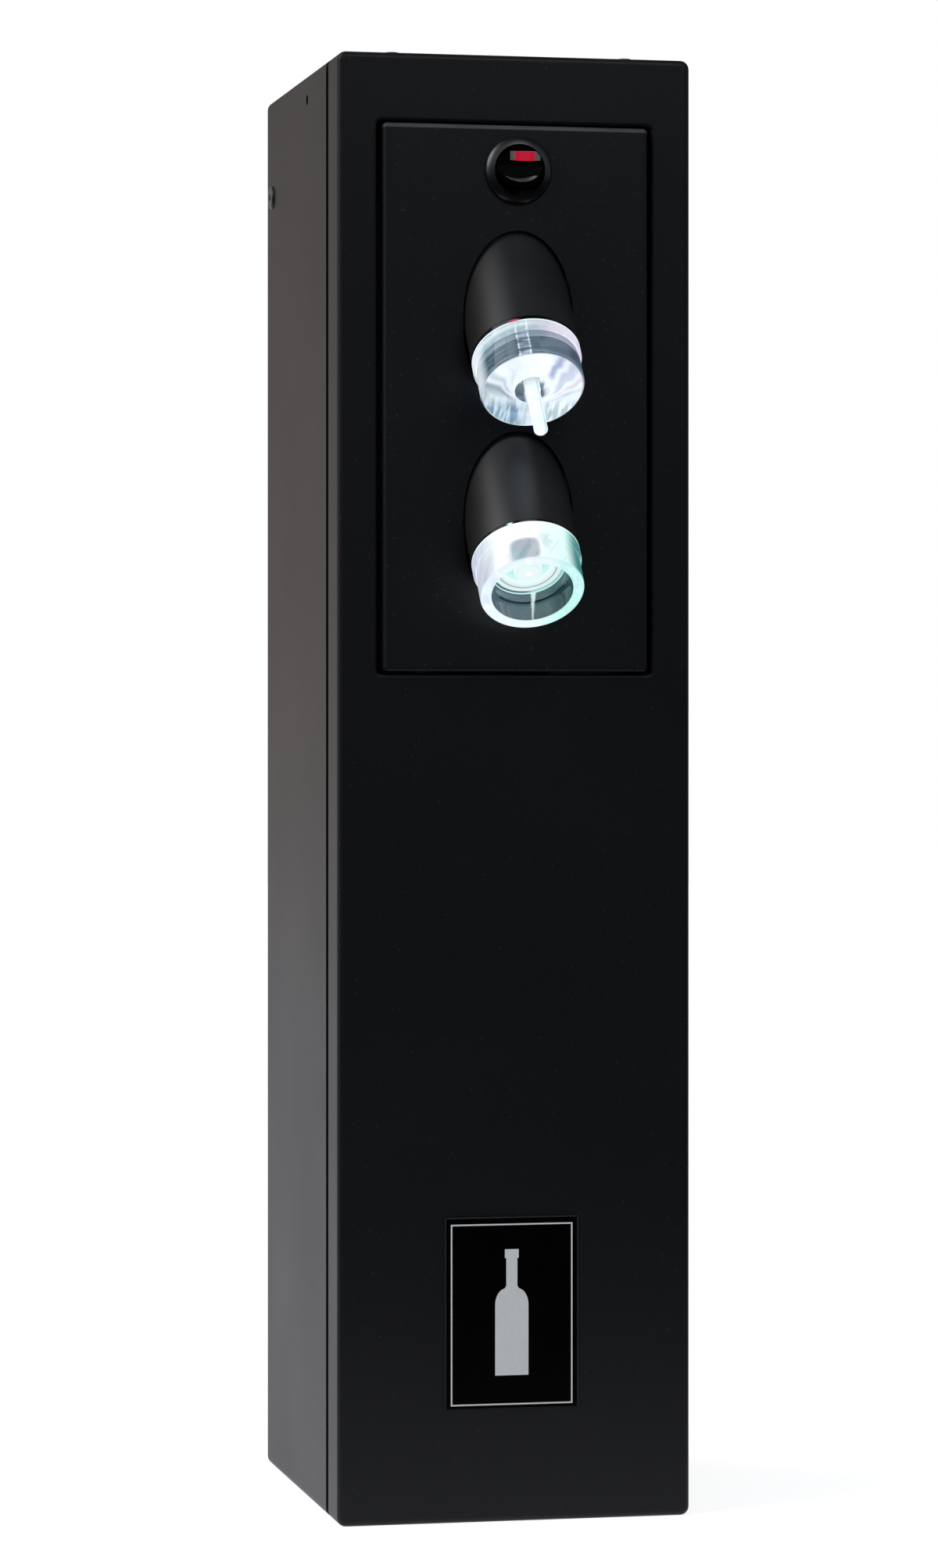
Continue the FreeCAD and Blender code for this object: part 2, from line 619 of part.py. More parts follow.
# ---- Head pieces that slide ---------------------------------------------------------------------
def barrel():
    tube = ring(TUBE_R, TUBE_BORE_R, (TUBE_FRONT_S, TUBE_BACK_S))
    return tube.makeChamfer(0.25, [e for e in tube.Edges if is_rim(e, TUBE_R, TUBE_FRONT_S)])


def lens_blank():
    """Clear end piece: spigot inside the tube, rim flush with it, then a slightly smaller body."""
    spigot_s = TUBE_FRONT_S + LENS_SPIGOT_L
    rim_s = TUBE_FRONT_S - LENS_RIM_L
    blank = turned([(0, spigot_s), (LENS_SPIGOT_R, spigot_s), (LENS_SPIGOT_R, TUBE_FRONT_S),
                    (TUBE_R, TUBE_FRONT_S), (TUBE_R, rim_s), (LENS_BODY_R, rim_s - 0.5),
                    (LENS_BODY_R, LENS_END_S), (0, LENS_END_S)])
    return round_rim(blank, LENS_BODY_R, LENS_END_S, LENS_FACE_R)


def still_lens():
    recess_s = LENS_END_S + LENS_RECESS_L
    lens = lens_blank().cut(rod(LENS_BORE_R, V(0, 0, LENS_END_S - 1), Z_AXIS, 40))
    return lens.cut(rod(LENS_RECESS_R, V(0, 0, LENS_END_S - 1), Z_AXIS, recess_s - LENS_END_S + 1))


def still_seal():
    """Soft washer in the recess, round the nozzle."""
    floor_s = LENS_END_S + LENS_RECESS_L
    return ring(LENS_RECESS_R - 0.05, LENS_BORE_R, (floor_s - 2.0, floor_s))


def sparkling_cup():
    """Clear cup that takes the top of a sparkling-wine stopper."""
    cup = lens_blank().cut(rod(CUP_HOLE_R, V(0, 0, LENS_END_S - 1), Z_AXIS, 40))
    for radius, depth_s in ((CUP_R, CUP_STEP_S), (CUP_STEP_R, CUP_FLOOR_S)):
        cup = cup.cut(rod(radius, V(0, 0, LENS_END_S - 1), Z_AXIS, depth_s - LENS_END_S + 1))
    return round_rim(cup, CUP_R, LENS_END_S, CUP_MOUTH_ROUND)


def cup_seal():
    """Ring seal that lies on the floor of the cup."""
    inner = CUP_STEP_R - 4.0
    seal = ring(CUP_STEP_R - 0.05, inner, (CUP_FLOOR_S - 2.2, CUP_FLOOR_S))
    return round_rim(seal, inner, CUP_FLOOR_S - 2.2, 1.0)


def bushes():
    """Two plastic bushes inside the barrel that run on the core."""
    return [ring(TUBE_BORE_R - 0.01, CORE_R + RUNNING_GAP, s) for s in (FRONT_BUSH_S, REAR_BUSH_S)]


def return_spring():
    """Compression spring between the front bush and the core's collar."""
    start = FRONT_BUSH_S[1] + SPRING_WIRE_R
    height = COLLAR_S[0] - SPRING_WIRE_R - start
    helix = Part.makeHelix(height / SPRING_TURNS, height, SPRING_R)
    angles = [math.radians(45 * i + 22.5) for i in range(9)]
    profile = Part.makePolygon([V(SPRING_R + SPRING_WIRE_R * math.cos(a), 0,
                                  SPRING_WIRE_R * math.sin(a)) for a in angles])
    coil = Part.Wire(helix).makePipeShell([profile], True, True)
    coil.translate(V(0, 0, start))
    return coil


def switch_lever():
    """Hinged leaf that the barrel's back edge pushes."""
    y = (MICRO_Y[0] + 1.1, MICRO_Y[1] - 1.1)
    leaf = box((0, LEVER_L), y, (-LEVER_T / 2, LEVER_T / 2))
    leaf = leaf.fuse(rod(0.7, V(0, y[0], 0), Y_AXIS, y[1] - y[0]))
    leaf = leaf.fuse(rod(0.5, V(0, MICRO_Y[0] + 0.1, 0), Y_AXIS, MICRO_Y[1] - MICRO_Y[0] - 0.2))
    leaf.rotate(ORIGIN, Y_AXIS, LEVER_REST)
    leaf.translate(V(LEVER_PIVOT_X, 0, LEVER_PIVOT_S))
    return leaf.removeSplitter()


def switch_plunger():
    y_mid = sum(MICRO_Y) / 2
    plunger = rod(PLUNGER_R, V(PLUNGER_X, y_mid, PLUNGER_TIP_S), Z_AXIS, 3.6)
    rim = [e for e in plunger.Edges if lies_at(e, "z", PLUNGER_TIP_S)]
    return plunger.makeFillet(0.4, rim)


# ---- Rocker switch ------------------------------------------------------------------------------
def on_switch(shape):
    """Turns a shape made with Z pointing out of the column, pivot at the origin, into place."""
    shape.rotate(ORIGIN, X_AXIS, 90)
    shape.translate(V(FITTINGS_X, PIVOT_Y, SWITCH_Z))
    return shape


def switch_housing():
    flange_d = OPENING_D + 0.3 - BEZEL_H
    crown_d = OPENING_D + 0.3
    lip = SWITCH_CAVITY_R - OPENING_R
    housing = turned([(OPENING_R, OPENING_D), (OPENING_R + 0.8, crown_d),
                      (BEZEL_R - 1.6, crown_d), (BEZEL_R, crown_d - 1.9), (BEZEL_R, flange_d),
                      (SWITCH_BODY_R, flange_d), (SWITCH_BODY_R, SWITCH_BACK_D),
                      (0, SWITCH_BACK_D), (0, SWITCH_BACK_D + 1.5),
                      (SWITCH_CAVITY_R, SWITCH_BACK_D + 1.5),
                      (SWITCH_CAVITY_R, OPENING_D - 1.6 * lip)])
    housing = round_rim(housing, BEZEL_R - 1.6, crown_d, 1.5)
    housing = round_rim(housing, BEZEL_R, crown_d - 1.9, 0.9)
    housing = housing.cut(rod(ROCKER_PIN_R, V(-9.8, 0, 0), X_AXIS, 19.6))
    return on_switch(housing)


def rocker_pin():
    return on_switch(rod(ROCKER_PIN_R, V(-9.8, 0, 0), X_AXIS, 19.6))


def switch_terminals():
    """Three blades behind the switch."""
    blades = []
    for z in (-5.5, 0.0, 5.5):
        blade = box((-2.4, 2.4), (z - 0.4, z + 0.4), (SWITCH_BACK_D - 8.0, SWITCH_BACK_D))
        blade = blade.cut(rod(0.8, V(0, z - 1, SWITCH_BACK_D - 5.5), Y_AXIS, 2))
        blades.append(on_switch(blade))
    return blades


def rocker_blank():
    """Rocker in its middle position: ball-shaped ends, a shallow V across the face."""
    ball = Part.makeSphere(ROCKER_R)
    body = ball.common(box((-8.0, 8.0), (-7.4, 7.4), (2.6, ROCKER_R)))
    valley = V(0, 0, ROCKER_VALLEY)
    for side in (-1, 1):
        swing = rod(SWITCH_CAVITY_R - 0.35, V(0, 0, -15), Z_AXIS, 30)
        swing.rotate(ORIGIN, X_AXIS, side * ROCKER_TILT)
        body = body.common(swing)
        waste = box((-12, 12), (0, 14) if side > 0 else (-14, 0), (0, 12))
        waste.rotate(ORIGIN, X_AXIS, side * ROCKER_TILT)
        waste.translate(valley)
        body = body.cut(waste)
    web = box((-2.5, 2.5), (-2.4, 2.4), (-2.2, 3.5))
    return body.fuse(web).cut(rod(ROCKER_PIN_R + RUNNING_GAP, V(-20, 0, 0), X_AXIS, 40))


def rocker_lens_blank():
    """Clear window in the rocker's upper face, in the rest position."""
    w, h, t = ROCKER_LENS
    x, z = ROCKER_LENS_AT
    top = ROCKER_VALLEY * math.cos(math.radians(ROCKER_TILT)) + 0.15
    return box((x - w / 2, x + w / 2), (z - h / 2, z + h / 2), (top - t, top))


def rocker():
    body = rocker_blank()
    body.rotate(ORIGIN, X_AXIS, -ROCKER_TILT)
    return on_switch(body.cut(rocker_lens_blank()).removeSplitter())


def rocker_lens():
    return on_switch(rocker_lens_blank())


# ---- Board, valves and services -----------------------------------------------------------------
def board_corners():
    return [(side * (BOARD_X - 4.0), z) for side in (-1, 1) for z in (BOARD_Z[0] + 4.0,
                                                                      BOARD_Z[1] - 4.0)]


def control_board():
    board = box((-BOARD_X, BOARD_X), (BOARD_Y, BOARD_Y + BOARD_T), BOARD_Z)
    for x, z in board_corners():
        board = board.cut(rod(1.6, V(x, BOARD_Y - 1, z), Y_AXIS, 5))
    return board


def board_components():
    """Relays, controller, terminal blocks and capacitors soldered to the board."""
    parts = []
    for x in (-24.0, -4.0):
        parts.append(box((x - 7.5, x + 7.5), (BOARD_Y - 15.0, BOARD_Y), (172.0, 191.0)))
    parts.append(box((12.0, 22.0), (BOARD_Y - 1.6, BOARD_Y), (150.0, 160.0)))
    for z in (122.0, 134.0):
        parts.append(box((-32.0, 8.0), (BOARD_Y - 9.0, BOARD_Y), (z - 4.0, z + 4.0)))
    for x in (18.0, 30.0):
        parts.append(rod(4.0, V(x, BOARD_Y, 184.0), V(0, -1, 0), 11.0))
    return parts


def board_standoffs():
    return [hexagon(5.5, V(x, BOARD_Y + BOARD_T, z), Y_AXIS, SPINE_Y - BOARD_Y - BOARD_T)
            for x, z in board_corners()]


def solenoid_valve(side):
    """Small two-port valve: a block on the spine with hose ports, and its coil in front."""
    x = side * VALVE_X
    z_mid = sum(VALVE_Z) / 2
    block = box((x - 10.0, x + 10.0), (-12.0, SPINE_Y), VALVE_Z)
    block = block.makeFillet(1.5, [e for e in block.Edges if runs_along(e, Y_AXIS)])
    for z, direction in ((VALVE_Z[1], 1), (VALVE_Z[0], -1)):
        block = block.fuse(rod(3.6, V(x, PORT_Y, z), V(0, 0, direction), PORT_L))
    return block.removeSplitter(), solenoid_coil(x, z_mid)


def solenoid_coil(x, z_mid):
    coil = box((x - 11.0, x + 11.0), (-38.0, -12.0), (z_mid - 11.0, z_mid + 11.0))
    coil = coil.makeFillet(2.5, [e for e in coil.Edges if runs_along(e, Y_AXIS)])
    return coil.fuse(rod(4.5, V(x, -38.0, z_mid), V(0, -1, 0), 4.0)).removeSplitter()


def service_shelf():
    """Folded shelf on the spine for the hose unions and the power inlet."""
    shelf = box((-40.0, 40.0), (-36.0, SPINE_Y), (SHELF_Z, SHELF_Z + 2.0))
    shelf = shelf.makeFillet(4.0, [e for e in shelf.Edges
                                   if runs_along(e, Z_AXIS) and lies_at(e, "y", -36.0)])
    upstand = box((-40.0, 40.0), (SPINE_Y - 2.0, SPINE_Y), (SHELF_Z, SHELF_Z + 20.0))
    shelf = shelf.fuse(upstand)
    for x in (-UNION_X, UNION_X):
        shelf = shelf.cut(rod(4.5, V(x, SERVICE_Y, SHELF_Z - 1), Z_AXIS, 5))
    return shelf.cut(rod(6.0, V(*INLET_AT, SHELF_Z - 1), Z_AXIS, 5)).removeSplitter()


def hose_unions():
    """Bulkhead unions through the shelf, one for air and one for gas."""
    unions = []
    for x in (-UNION_X, UNION_X):
        union = turned([(1.6, 34.0), (4.2, 34.0), (5.2, 36.0), (5.2, 44.0), (6.5, 44.0),
                        (6.5, SHELF_Z), (4.5, SHELF_Z), (4.5, SHELF_Z + 2.0),
                        (6.5, SHELF_Z + 2.0), (6.5, 54.0), (5.2, 54.0), (5.2, 60.0),
                        (4.2, 62.0), (1.6, 62.0)])
        union.translate(V(x, SERVICE_Y, 0))
        unions.append(union)
    return unions


def power_inlet():
    """Round low-voltage socket that faces down from the shelf."""
    inlet = turned([(0, 42.0), (4.0, 42.0), (4.0, 34.0), (5.4, 34.0), (5.4, 44.0), (8.0, 44.0),
                    (8.0, SHELF_Z), (6.0, SHELF_Z), (6.0, 58.0), (0, 58.0)])
    inlet.translate(V(*INLET_AT, 0))
    return inlet


def head_hose(head, side):
    """Hose from a head's elbow down to its valve."""
    leg_s = CORE_BACK_S + ELBOW_W / 2
    start = head_point(head, 0, ELBOW_LEG, leg_s)
    leg = head_point(head, 0, ELBOW_LEG + 16.0, leg_s)
    drop = (start.z - VALVE_Z[1] - PORT_L)
    return hose([start, leg, V(side * (VALVE_X - 4.0), -5.0, start.z - 0.34 * drop),
                 V(side * VALVE_X, PORT_Y, VALVE_Z[1] + PORT_L + 0.33 * drop),
                 V(side * VALVE_X, PORT_Y, VALVE_Z[1] + PORT_L)], HOSE_R)


def supply_hose(side):
    """Hose from a valve down, in front of the board, to its union."""
    x = side * VALVE_X
    return hose([V(x, PORT_Y, VALVE_Z[0] - PORT_L), V(x, PORT_Y, 236.0), V(x, -20.0, 210.0),
                 V(side * 20.0, -25.0, 160.0), V(side * 16.0, -24.0, 110.0),
                 V(side * UNION_X, SERVICE_Y, 84.0), V(side * UNION_X, SERVICE_Y, 62.0)], HOSE_R)


# ---- Assembly -----------------------------------------------------------------------------------
def save(node, shape):
    """Writes one node; a list of solids shares the node."""
    shape = Part.Compound(shape) if isinstance(shape, list) else shape
    shape.exportStep(f"parts/{node}.step")


def save_head(head, maker, suffix):
    made = maker()
    made = [on_head(s, head) for s in made] if isinstance(made, list) else on_head(made, head)
    save(f"{head}_{suffix}", made)


def main():
    os.makedirs("parts", exist_ok=True)
    for maker in (front_cover, cover_screws, cover_frame, rear_casing, casing_screws, base_plate,
                  foot_screws, hose_grommet, spine, badge_plate, head_plate, stud_nuts,
                  chassis_screws, head_chassis, switch_housing, rocker_pin, switch_terminals,
                  rocker, rocker_lens, control_board, board_components, board_standoffs,
                  service_shelf, hose_unions, power_inlet):
        save(maker.__name__, maker())
    for head in HEAD_Z:
        for maker, suffix in ((head_core, "core"), (core_nuts, "core_nuts"),
                              (led_board, "led_board"), (hose_elbow, "elbow"),
                              (microswitch, "microswitch"), (switch_lever, "switch_lever"),
                              (switch_plunger, "switch_plunger"), (barrel, "barrel"),
                              (bushes, "bushes"), (return_spring, "spring")):
            save_head(head, maker, suffix)
    save_head("still", still_nozzle, "nozzle")
    save_head("still", still_lens, "lens")
    save_head("still", still_seal, "seal")
    save_head("sparkling", gas_nozzle, "nozzle")
    save_head("sparkling", sparkling_cup, "cup")
    save_head("sparkling", cup_seal, "seal")
    for name, side, head in (("vacuum", 1, "still"), ("gas", -1, "sparkling")):
        valve, coil = solenoid_valve(side)
        save(f"{name}_valve", valve)
        save(f"{name}_coil", coil)
        save(f"{head}_hose", head_hose(head, side))
        save(f"{name}_supply_hose", supply_hose(side))


main()
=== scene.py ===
import json
import math

import bmesh
import bpy
from mathutils import Matrix, Vector


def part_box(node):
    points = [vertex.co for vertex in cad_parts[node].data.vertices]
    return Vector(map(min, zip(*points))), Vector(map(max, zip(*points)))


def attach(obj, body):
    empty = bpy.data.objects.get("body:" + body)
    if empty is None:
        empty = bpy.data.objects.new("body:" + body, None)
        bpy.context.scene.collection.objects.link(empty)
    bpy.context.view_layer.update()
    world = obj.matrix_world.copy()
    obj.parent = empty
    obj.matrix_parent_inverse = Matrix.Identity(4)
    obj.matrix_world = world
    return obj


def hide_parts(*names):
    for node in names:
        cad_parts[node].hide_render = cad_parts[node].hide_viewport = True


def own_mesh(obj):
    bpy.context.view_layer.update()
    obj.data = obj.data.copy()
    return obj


bl_info = {
    "name": "Wine preservation column",
    "version": (1, 0, 0),
    "blender": (4, 5, 0),
    "location": "View3D > Sidebar > Wine column",
    "description": "Finishes, prints, lights and stages a wine preservation column with two "
                   "bottle heads",
    "category": "Object",
}

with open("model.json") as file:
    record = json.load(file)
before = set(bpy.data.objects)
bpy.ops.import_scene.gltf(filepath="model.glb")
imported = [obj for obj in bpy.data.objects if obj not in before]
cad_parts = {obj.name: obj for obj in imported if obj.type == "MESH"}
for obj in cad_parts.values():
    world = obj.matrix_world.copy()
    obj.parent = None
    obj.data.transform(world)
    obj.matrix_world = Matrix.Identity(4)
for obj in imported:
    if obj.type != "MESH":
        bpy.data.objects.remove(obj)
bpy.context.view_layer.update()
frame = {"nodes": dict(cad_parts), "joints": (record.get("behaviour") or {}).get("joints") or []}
NODES = frame["nodes"]
MM = 0.001

COLUMN = "column"
FRONT_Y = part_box("front_cover")[0].y
PRINT_T = 0.06 * MM         # thickness of the badge's ink
TURN_SEGMENTS = 96          # flats round a turned piece
SHARP_ANGLE = math.radians(40)
MERGE_WITHIN = 1e-6         # metres between points that are one point


class Head:
    """One slanted bottle head, with the frame that its shading and its domes are laid out in."""

    def __init__(self, name):
        slide = next(j for j in frame["joints"] if j["name"] == f"{name}_head_slide")
        low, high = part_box(f"{name}_barrel")
        middle = (low + high) / 2
        self.name = name
        self.travel = slide["range_m"][1]
        self.out = -Vector(slide["axis"]).normalized()
        self.down = Vector((1, 0, 0)).cross(self.out)
        self.origin = middle + self.out * ((FRONT_Y - middle.y) / self.out.y)

    def matrix(self, out):
        """Places a mesh made about Z, its top facing out of the head, at a distance outwards."""
        turn = Matrix(((1, 0, 0), -self.down, self.out)).transposed().to_4x4()
        return Matrix.Translation(self.origin + self.out * out) @ turn


STILL = Head("still")
SPARKLING = Head("sparkling")

# The switch's own frame: its middle at the rocker's pivot, Z out of the column.
ROCKER = next(j for j in frame["joints"] if j["name"] == "power_rocker_hinge")
ROCKER_BODY = ROCKER["child"]
ROCKER_TILT = math.radians(ROCKER["range_deg"][1])
SWITCH = Matrix.Translation(ROCKER["pos_m"]) @ Matrix.Rotation(math.pi / 2, 4, "X")


# ---- Shader building ----------------------------------------------------------------------------
class Value:
    """A number in a node tree that works in Python sums; each sign adds its Math node."""

    def __init__(self, graph, socket):
        self.graph = graph
        self.socket = socket

    def __add__(self, other):
        return self.graph.math("ADD", self, other)

    def __sub__(self, other):
        return self.graph.math("SUBTRACT", self, other)

    def __mul__(self, other):
        return self.graph.math("MULTIPLY", self, other)

    def __truediv__(self, other):
        return self.graph.math("DIVIDE", self, other)

    def __rsub__(self, other):
        return self.graph.math("SUBTRACT", other, self)

    __radd__ = __add__
    __rmul__ = __mul__

    def step(self, low, high):
        """0 below one limit, 1 above the other, smooth between them."""
        node = self.graph.add("ShaderNodeMapRange", {"interpolation_type": "SMOOTHSTEP"},
                              {"Value": self, "From Min": low, "From Max": high})
        return Value(self.graph, node.outputs["Result"])

    def band(self, low, high, soft):
        """1 between two limits and 0 outside them, with soft edges."""
        return self.step(low - soft, low + soft) * (1 - self.step(high - soft, high + soft))


class Tree:
    """A node tree, with its nodes added from Python sums and calls."""

    def __init__(self, tree):
        self.tree = tree
        self.tree.nodes.clear()

    def add(self, kind, settings=None, inputs=None):
        """Any node: its settings first, then its sockets' values or links."""
        node = self.tree.nodes.new(kind)
        for name, value in (settings or {}).items():
            setattr(node, name, value)
        for name, value in (inputs or {}).items():
            self.feed(node.inputs[name], value)
        return node

    def feed(self, socket, value):
        """Links a socket or sets its value."""
        if isinstance(value, Value):
            self.tree.links.new(value.socket, socket)
        elif isinstance(value, bpy.types.NodeSocket):
            self.tree.links.new(value, socket)
        elif hasattr(value, "__len__") and len(socket.default_value) == 4 and len(value) == 3:
            socket.default_value = (*value, 1.0)
        else:
            socket.default_value = value

    def math(self, operation, *terms):
        inputs = dict(enumerate(terms))
        return Value(self, self.add("ShaderNodeMath", {"operation": operation}, inputs).outputs[0])


class Graph(Tree):
    """A shader node tree for a material or the world."""

    def __init__(self, tree, output):
        super().__init__(tree)
        self.output = self.add(output)
        coordinates = self.add("ShaderNodeTexCoord")
        self.place = coordinates.outputs["Object"]
        self.direction = coordinates.outputs["Generated"]

    def dot(self, vector, direction):
        node = self.add("ShaderNodeVectorMath", {"operation": "DOT_PRODUCT"},
                        {0: vector, 1: tuple(direction)})
        return Value(self, node.outputs["Value"])

    def coordinate(self, direction, origin=(0, 0, 0)):
        """How far the surface lies along a direction from a point, in metres."""
        moved = self.add("ShaderNodeVectorMath", {"operation": "SUBTRACT"},
                         {0: self.place, 1: tuple(origin)}).outputs[0]
        return self.dot(moved, direction)

    def vector(self, *numbers):
        return self.add("ShaderNodeCombineXYZ", {}, dict(enumerate(numbers))).outputs[0]

    def ray(self, kind):
        """1 for the rays of one kind, 0 for others."""
        return Value(self, self.add("ShaderNodeLightPath").outputs[f"Is {kind} Ray"])

    def mix_shaders(self, factor, first, second):
        return self.add("ShaderNodeMixShader", {}, {0: factor, 1: first, 2: second}).outputs[0]

    def noise(self, scale, detail=2.0, roughness=0.5, vector=None, stretch=(1, 1, 1)):
        """Noise from 0 to 1 on the surface; stretch multiplies the scale along each axis."""
        mapped = self.add("ShaderNodeMapping", {}, {"Vector": vector or self.place,
                                                    "Scale": stretch}).outputs[0]
        node = self.add("ShaderNodeTexNoise", {}, {"Vector": mapped, "Scale": scale,
                                                   "Detail": detail, "Roughness": roughness})
        return Value(self, node.outputs[0])

    def colour(self, factor, first, second):
        """Mixes two colours."""
        node = self.add("ShaderNodeMix", {"data_type": "RGBA"})
        self.feed(node.inputs["Factor"], factor)
        self.feed(node.inputs[6], first)
        self.feed(node.inputs[7], second)
        return node.outputs[2]

    def layers(self, colour, *layers):
        """Lays (amount, colour) pairs over a colour, the last one on top."""
        for amount, over in layers:
            colour = self.colour(amount, colour, over)
        return colour


class Finish(Graph):
    """A node-based material with one Principled shader, named for what it covers."""

    def __init__(self, name, constants):
        self.material = bpy.data.materials.new(name)
        self.material.use_nodes = True
        super().__init__(self.material.node_tree, "ShaderNodeOutputMaterial")
        self.shader = self.add("ShaderNodeBsdfPrincipled", {}, constants)
        self.feed(self.output.inputs["Surface"], self.shader.outputs[0])

    def set(self, **sockets):
        """Feeds the shader's sockets; an underscore in a name stands for a space."""
        for name, value in sockets.items():
            self.feed(self.shader.inputs[name.replace("_", " ")], value)

    def bump(self, height, strength, distance):
        node = self.add("ShaderNodeBump", {}, {"Height": height, "Strength": strength,
                                               "Distance": distance})
        self.set(Normal=node.outputs[0])

    def head_lines(self, head):
        """To the right, down and outwards along a head, and away from its axis, in millimetres."""
        x, y, out = (self.coordinate(axis, head.origin) * 1000
                     for axis in ((1, 0, 0), head.down, head.out))
        return x, y, out, self.math("SQRT", x * x + y * y)

    def on(self, *nodes):
        """Puts the finish on CAD nodes and on Blender pieces."""
        for name in nodes:
            piece = NODES.get(name) or bpy.data.objects[name]
            piece.data.materials.clear()
            piece.data.materials.append(self.material)


# ---- Settings -----------------------------------------------------------------------------------
def colour_property(name, description, default):
    return bpy.props.FloatVectorProperty(name=name, description=description, default=default,
                                         size=3, min=0.0, max=1.0, subtype="COLOR")


class ColumnSettings(bpy.types.PropertyGroup):
    coat: colour_property("Coat", "Colour of the column's powder coat", (0.0042, 0.0045, 0.0058))
    grain: bpy.props.FloatProperty(name="Grain", description="Size of the coat's fine texture",
                                   default=0.35 * MM, min=0.05 * MM, max=2 * MM, unit="LENGTH")
    sheen: bpy.props.FloatProperty(name="Roughness", description="Roughness of the coat",
                                   default=0.46, min=0.0, max=1.0, subtype="FACTOR")


class HeadSettings(bpy.types.PropertyGroup):
    barrel: colour_property("Barrel", "Colour of the heads' barrels", (0.012, 0.012, 0.0125))
    still_light: colour_property("Still light", "Light of the upper head", (0.86, 0.9, 1.0))
    sparkling_light: colour_property("Sparkling light", "Light of the lower head",
                                     (0.72, 1.0, 0.95))
    brightness: bpy.props.FloatProperty(name="Brightness", default=3.0, min=0.0, max=100.0,
                                        description="Strength of the light behind the clear ends")
    glow: bpy.props.FloatProperty(name="Glow", default=1.0, min=0.0, max=10.0,
                                  description="Strength of the light in the clear ends")
    dome: bpy.props.FloatProperty(name="Dome radius", default=1.3 * MM, min=0.5 * MM,
                                  max=2.5 * MM, unit="LENGTH",
                                  description="Radius of the dome on each diode")


class SwitchSettings(bpy.types.PropertyGroup):
    lens: colour_property("Window", "Colour of the rocker's lit window", (0.85, 0.0, 0.045))
    glow: bpy.props.FloatProperty(name="Glow", description="Strength of the window's light",
                                  default=0.45, min=0.0, max=20.0)


class BadgeSettings(bpy.types.PropertyGroup):
    ink: colour_property("Ink", "Colour of the badge's border and bottle sign", (0.97, 0.97, 0.96))
    border: bpy.props.FloatProperty(name="Border", description="Width of the border's line",
                                    default=0.5 * MM, min=0.1 * MM, max=3 * MM, unit="LENGTH")
    margin: bpy.props.FloatProperty(name="Margin", description="From the badge's edge to the line",
                                    default=2.0 * MM, min=0.5 * MM, max=8 * MM, unit="LENGTH")


class StageSettings(bpy.types.PropertyGroup):
    floor: colour_property("Floor", "Colour of the floor", (0.8, 0.8, 0.8))
    daylight: bpy.props.FloatProperty(name="Surroundings", default=1.0, min=0.0, max=4.0,
                                      description="Brightness of the studio around the column")
    lamp: bpy.props.FloatProperty(name="Lamp", description="Power of the lamp above at the left",
                                  default=6.0, min=0.0, max=500.0, unit="POWER")
    top_lamp: bpy.props.FloatProperty(name="Top lamp", description="Power of the lamp near the top",
                                      default=0.5, min=0.0, max=50.0, unit="POWER")


SETTINGS = {"column_finish": ColumnSettings, "head_finish": HeadSettings,
            "switch_finish": SwitchSettings, "badge_finish": BadgeSettings,
            "column_stage": StageSettings}


# ---- Meshes -------------------------------------------------------------------------------------
def mesh_piece(name, build, finish, body):
    """A Blender piece whose mesh a function builds, riding on a CAD body."""
    shape = bmesh.new()
    build(shape)
    bmesh.ops.recalc_face_normals(shape, faces=shape.faces)
    return shape_piece(name, shape, finish, body)


def shape_piece(name, shape, finish, body):
    """Turns a finished shape into a piece that rides on a CAD body."""
    mesh = bpy.data.meshes.new(name)
    shape.to_mesh(mesh)
    shape.free()
    piece = bpy.data.objects.new(name, mesh)
    bpy.context.scene.collection.objects.link(piece)
    mesh.materials.append(finish.material)
    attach(piece, body)
    return piece


def plate_from_outline(shape, outline, low_y, high_y):
    """Thin plate facing -Y from a closed (x, z) outline."""
    back = [shape.verts.new((x, high_y, z)) for x, z in outline]
    front = [shape.verts.new((x, low_y, z)) for x, z in outline]
    shape.faces.new(front)
    shape.faces.new(list(reversed(back)))
    for i, start in enumerate(front):
        j = (i + 1) % len(front)
        shape.faces.new((start, back[i], back[j], front[j]))


def turned_piece(name, profile, matrix, finish, body):
    """A round piece from a closed outline of (radius, height) points, turned about Z and placed."""
    def build(shape):
        rings = []
        for i in range(TURN_SEGMENTS):
            turn = 2 * math.pi * i / TURN_SEGMENTS
            rings.append([shape.verts.new((r * math.cos(turn), r * math.sin(turn), h))
                          for r, h in profile])
        for i, ring in enumerate(rings):
            after = rings[(i + 1) % TURN_SEGMENTS]
            for j, start in enumerate(ring):
                k = (j + 1) % len(ring)
                shape.faces.new((start, ring[k], after[k], after[j]))
        shape.transform(matrix)

    piece = mesh_piece(name, build, finish, body)
    piece.data.shade_smooth()
    piece.data.set_sharp_from_angle(angle=SHARP_ANGLE)
    return piece


def bezel_profile():
    """Outline of the switch's housing: a body with its cavity, and a sloping, rounded bezel."""
    bezel = [(8.6, 6.2), (9.7, 5.75), (10.6, 5.15), (11.15, 4.6), (11.42, 4.0), (11.5, 3.4)]
    body = [(9.9, 3.4), (9.9, -9.7), (1.0, -9.7), (1.0, -8.5), (9.1, -8.5), (9.1, 3.7), (8.7, 5.2)]
    return [(radius * MM, height * MM) for radius, height in bezel + body]


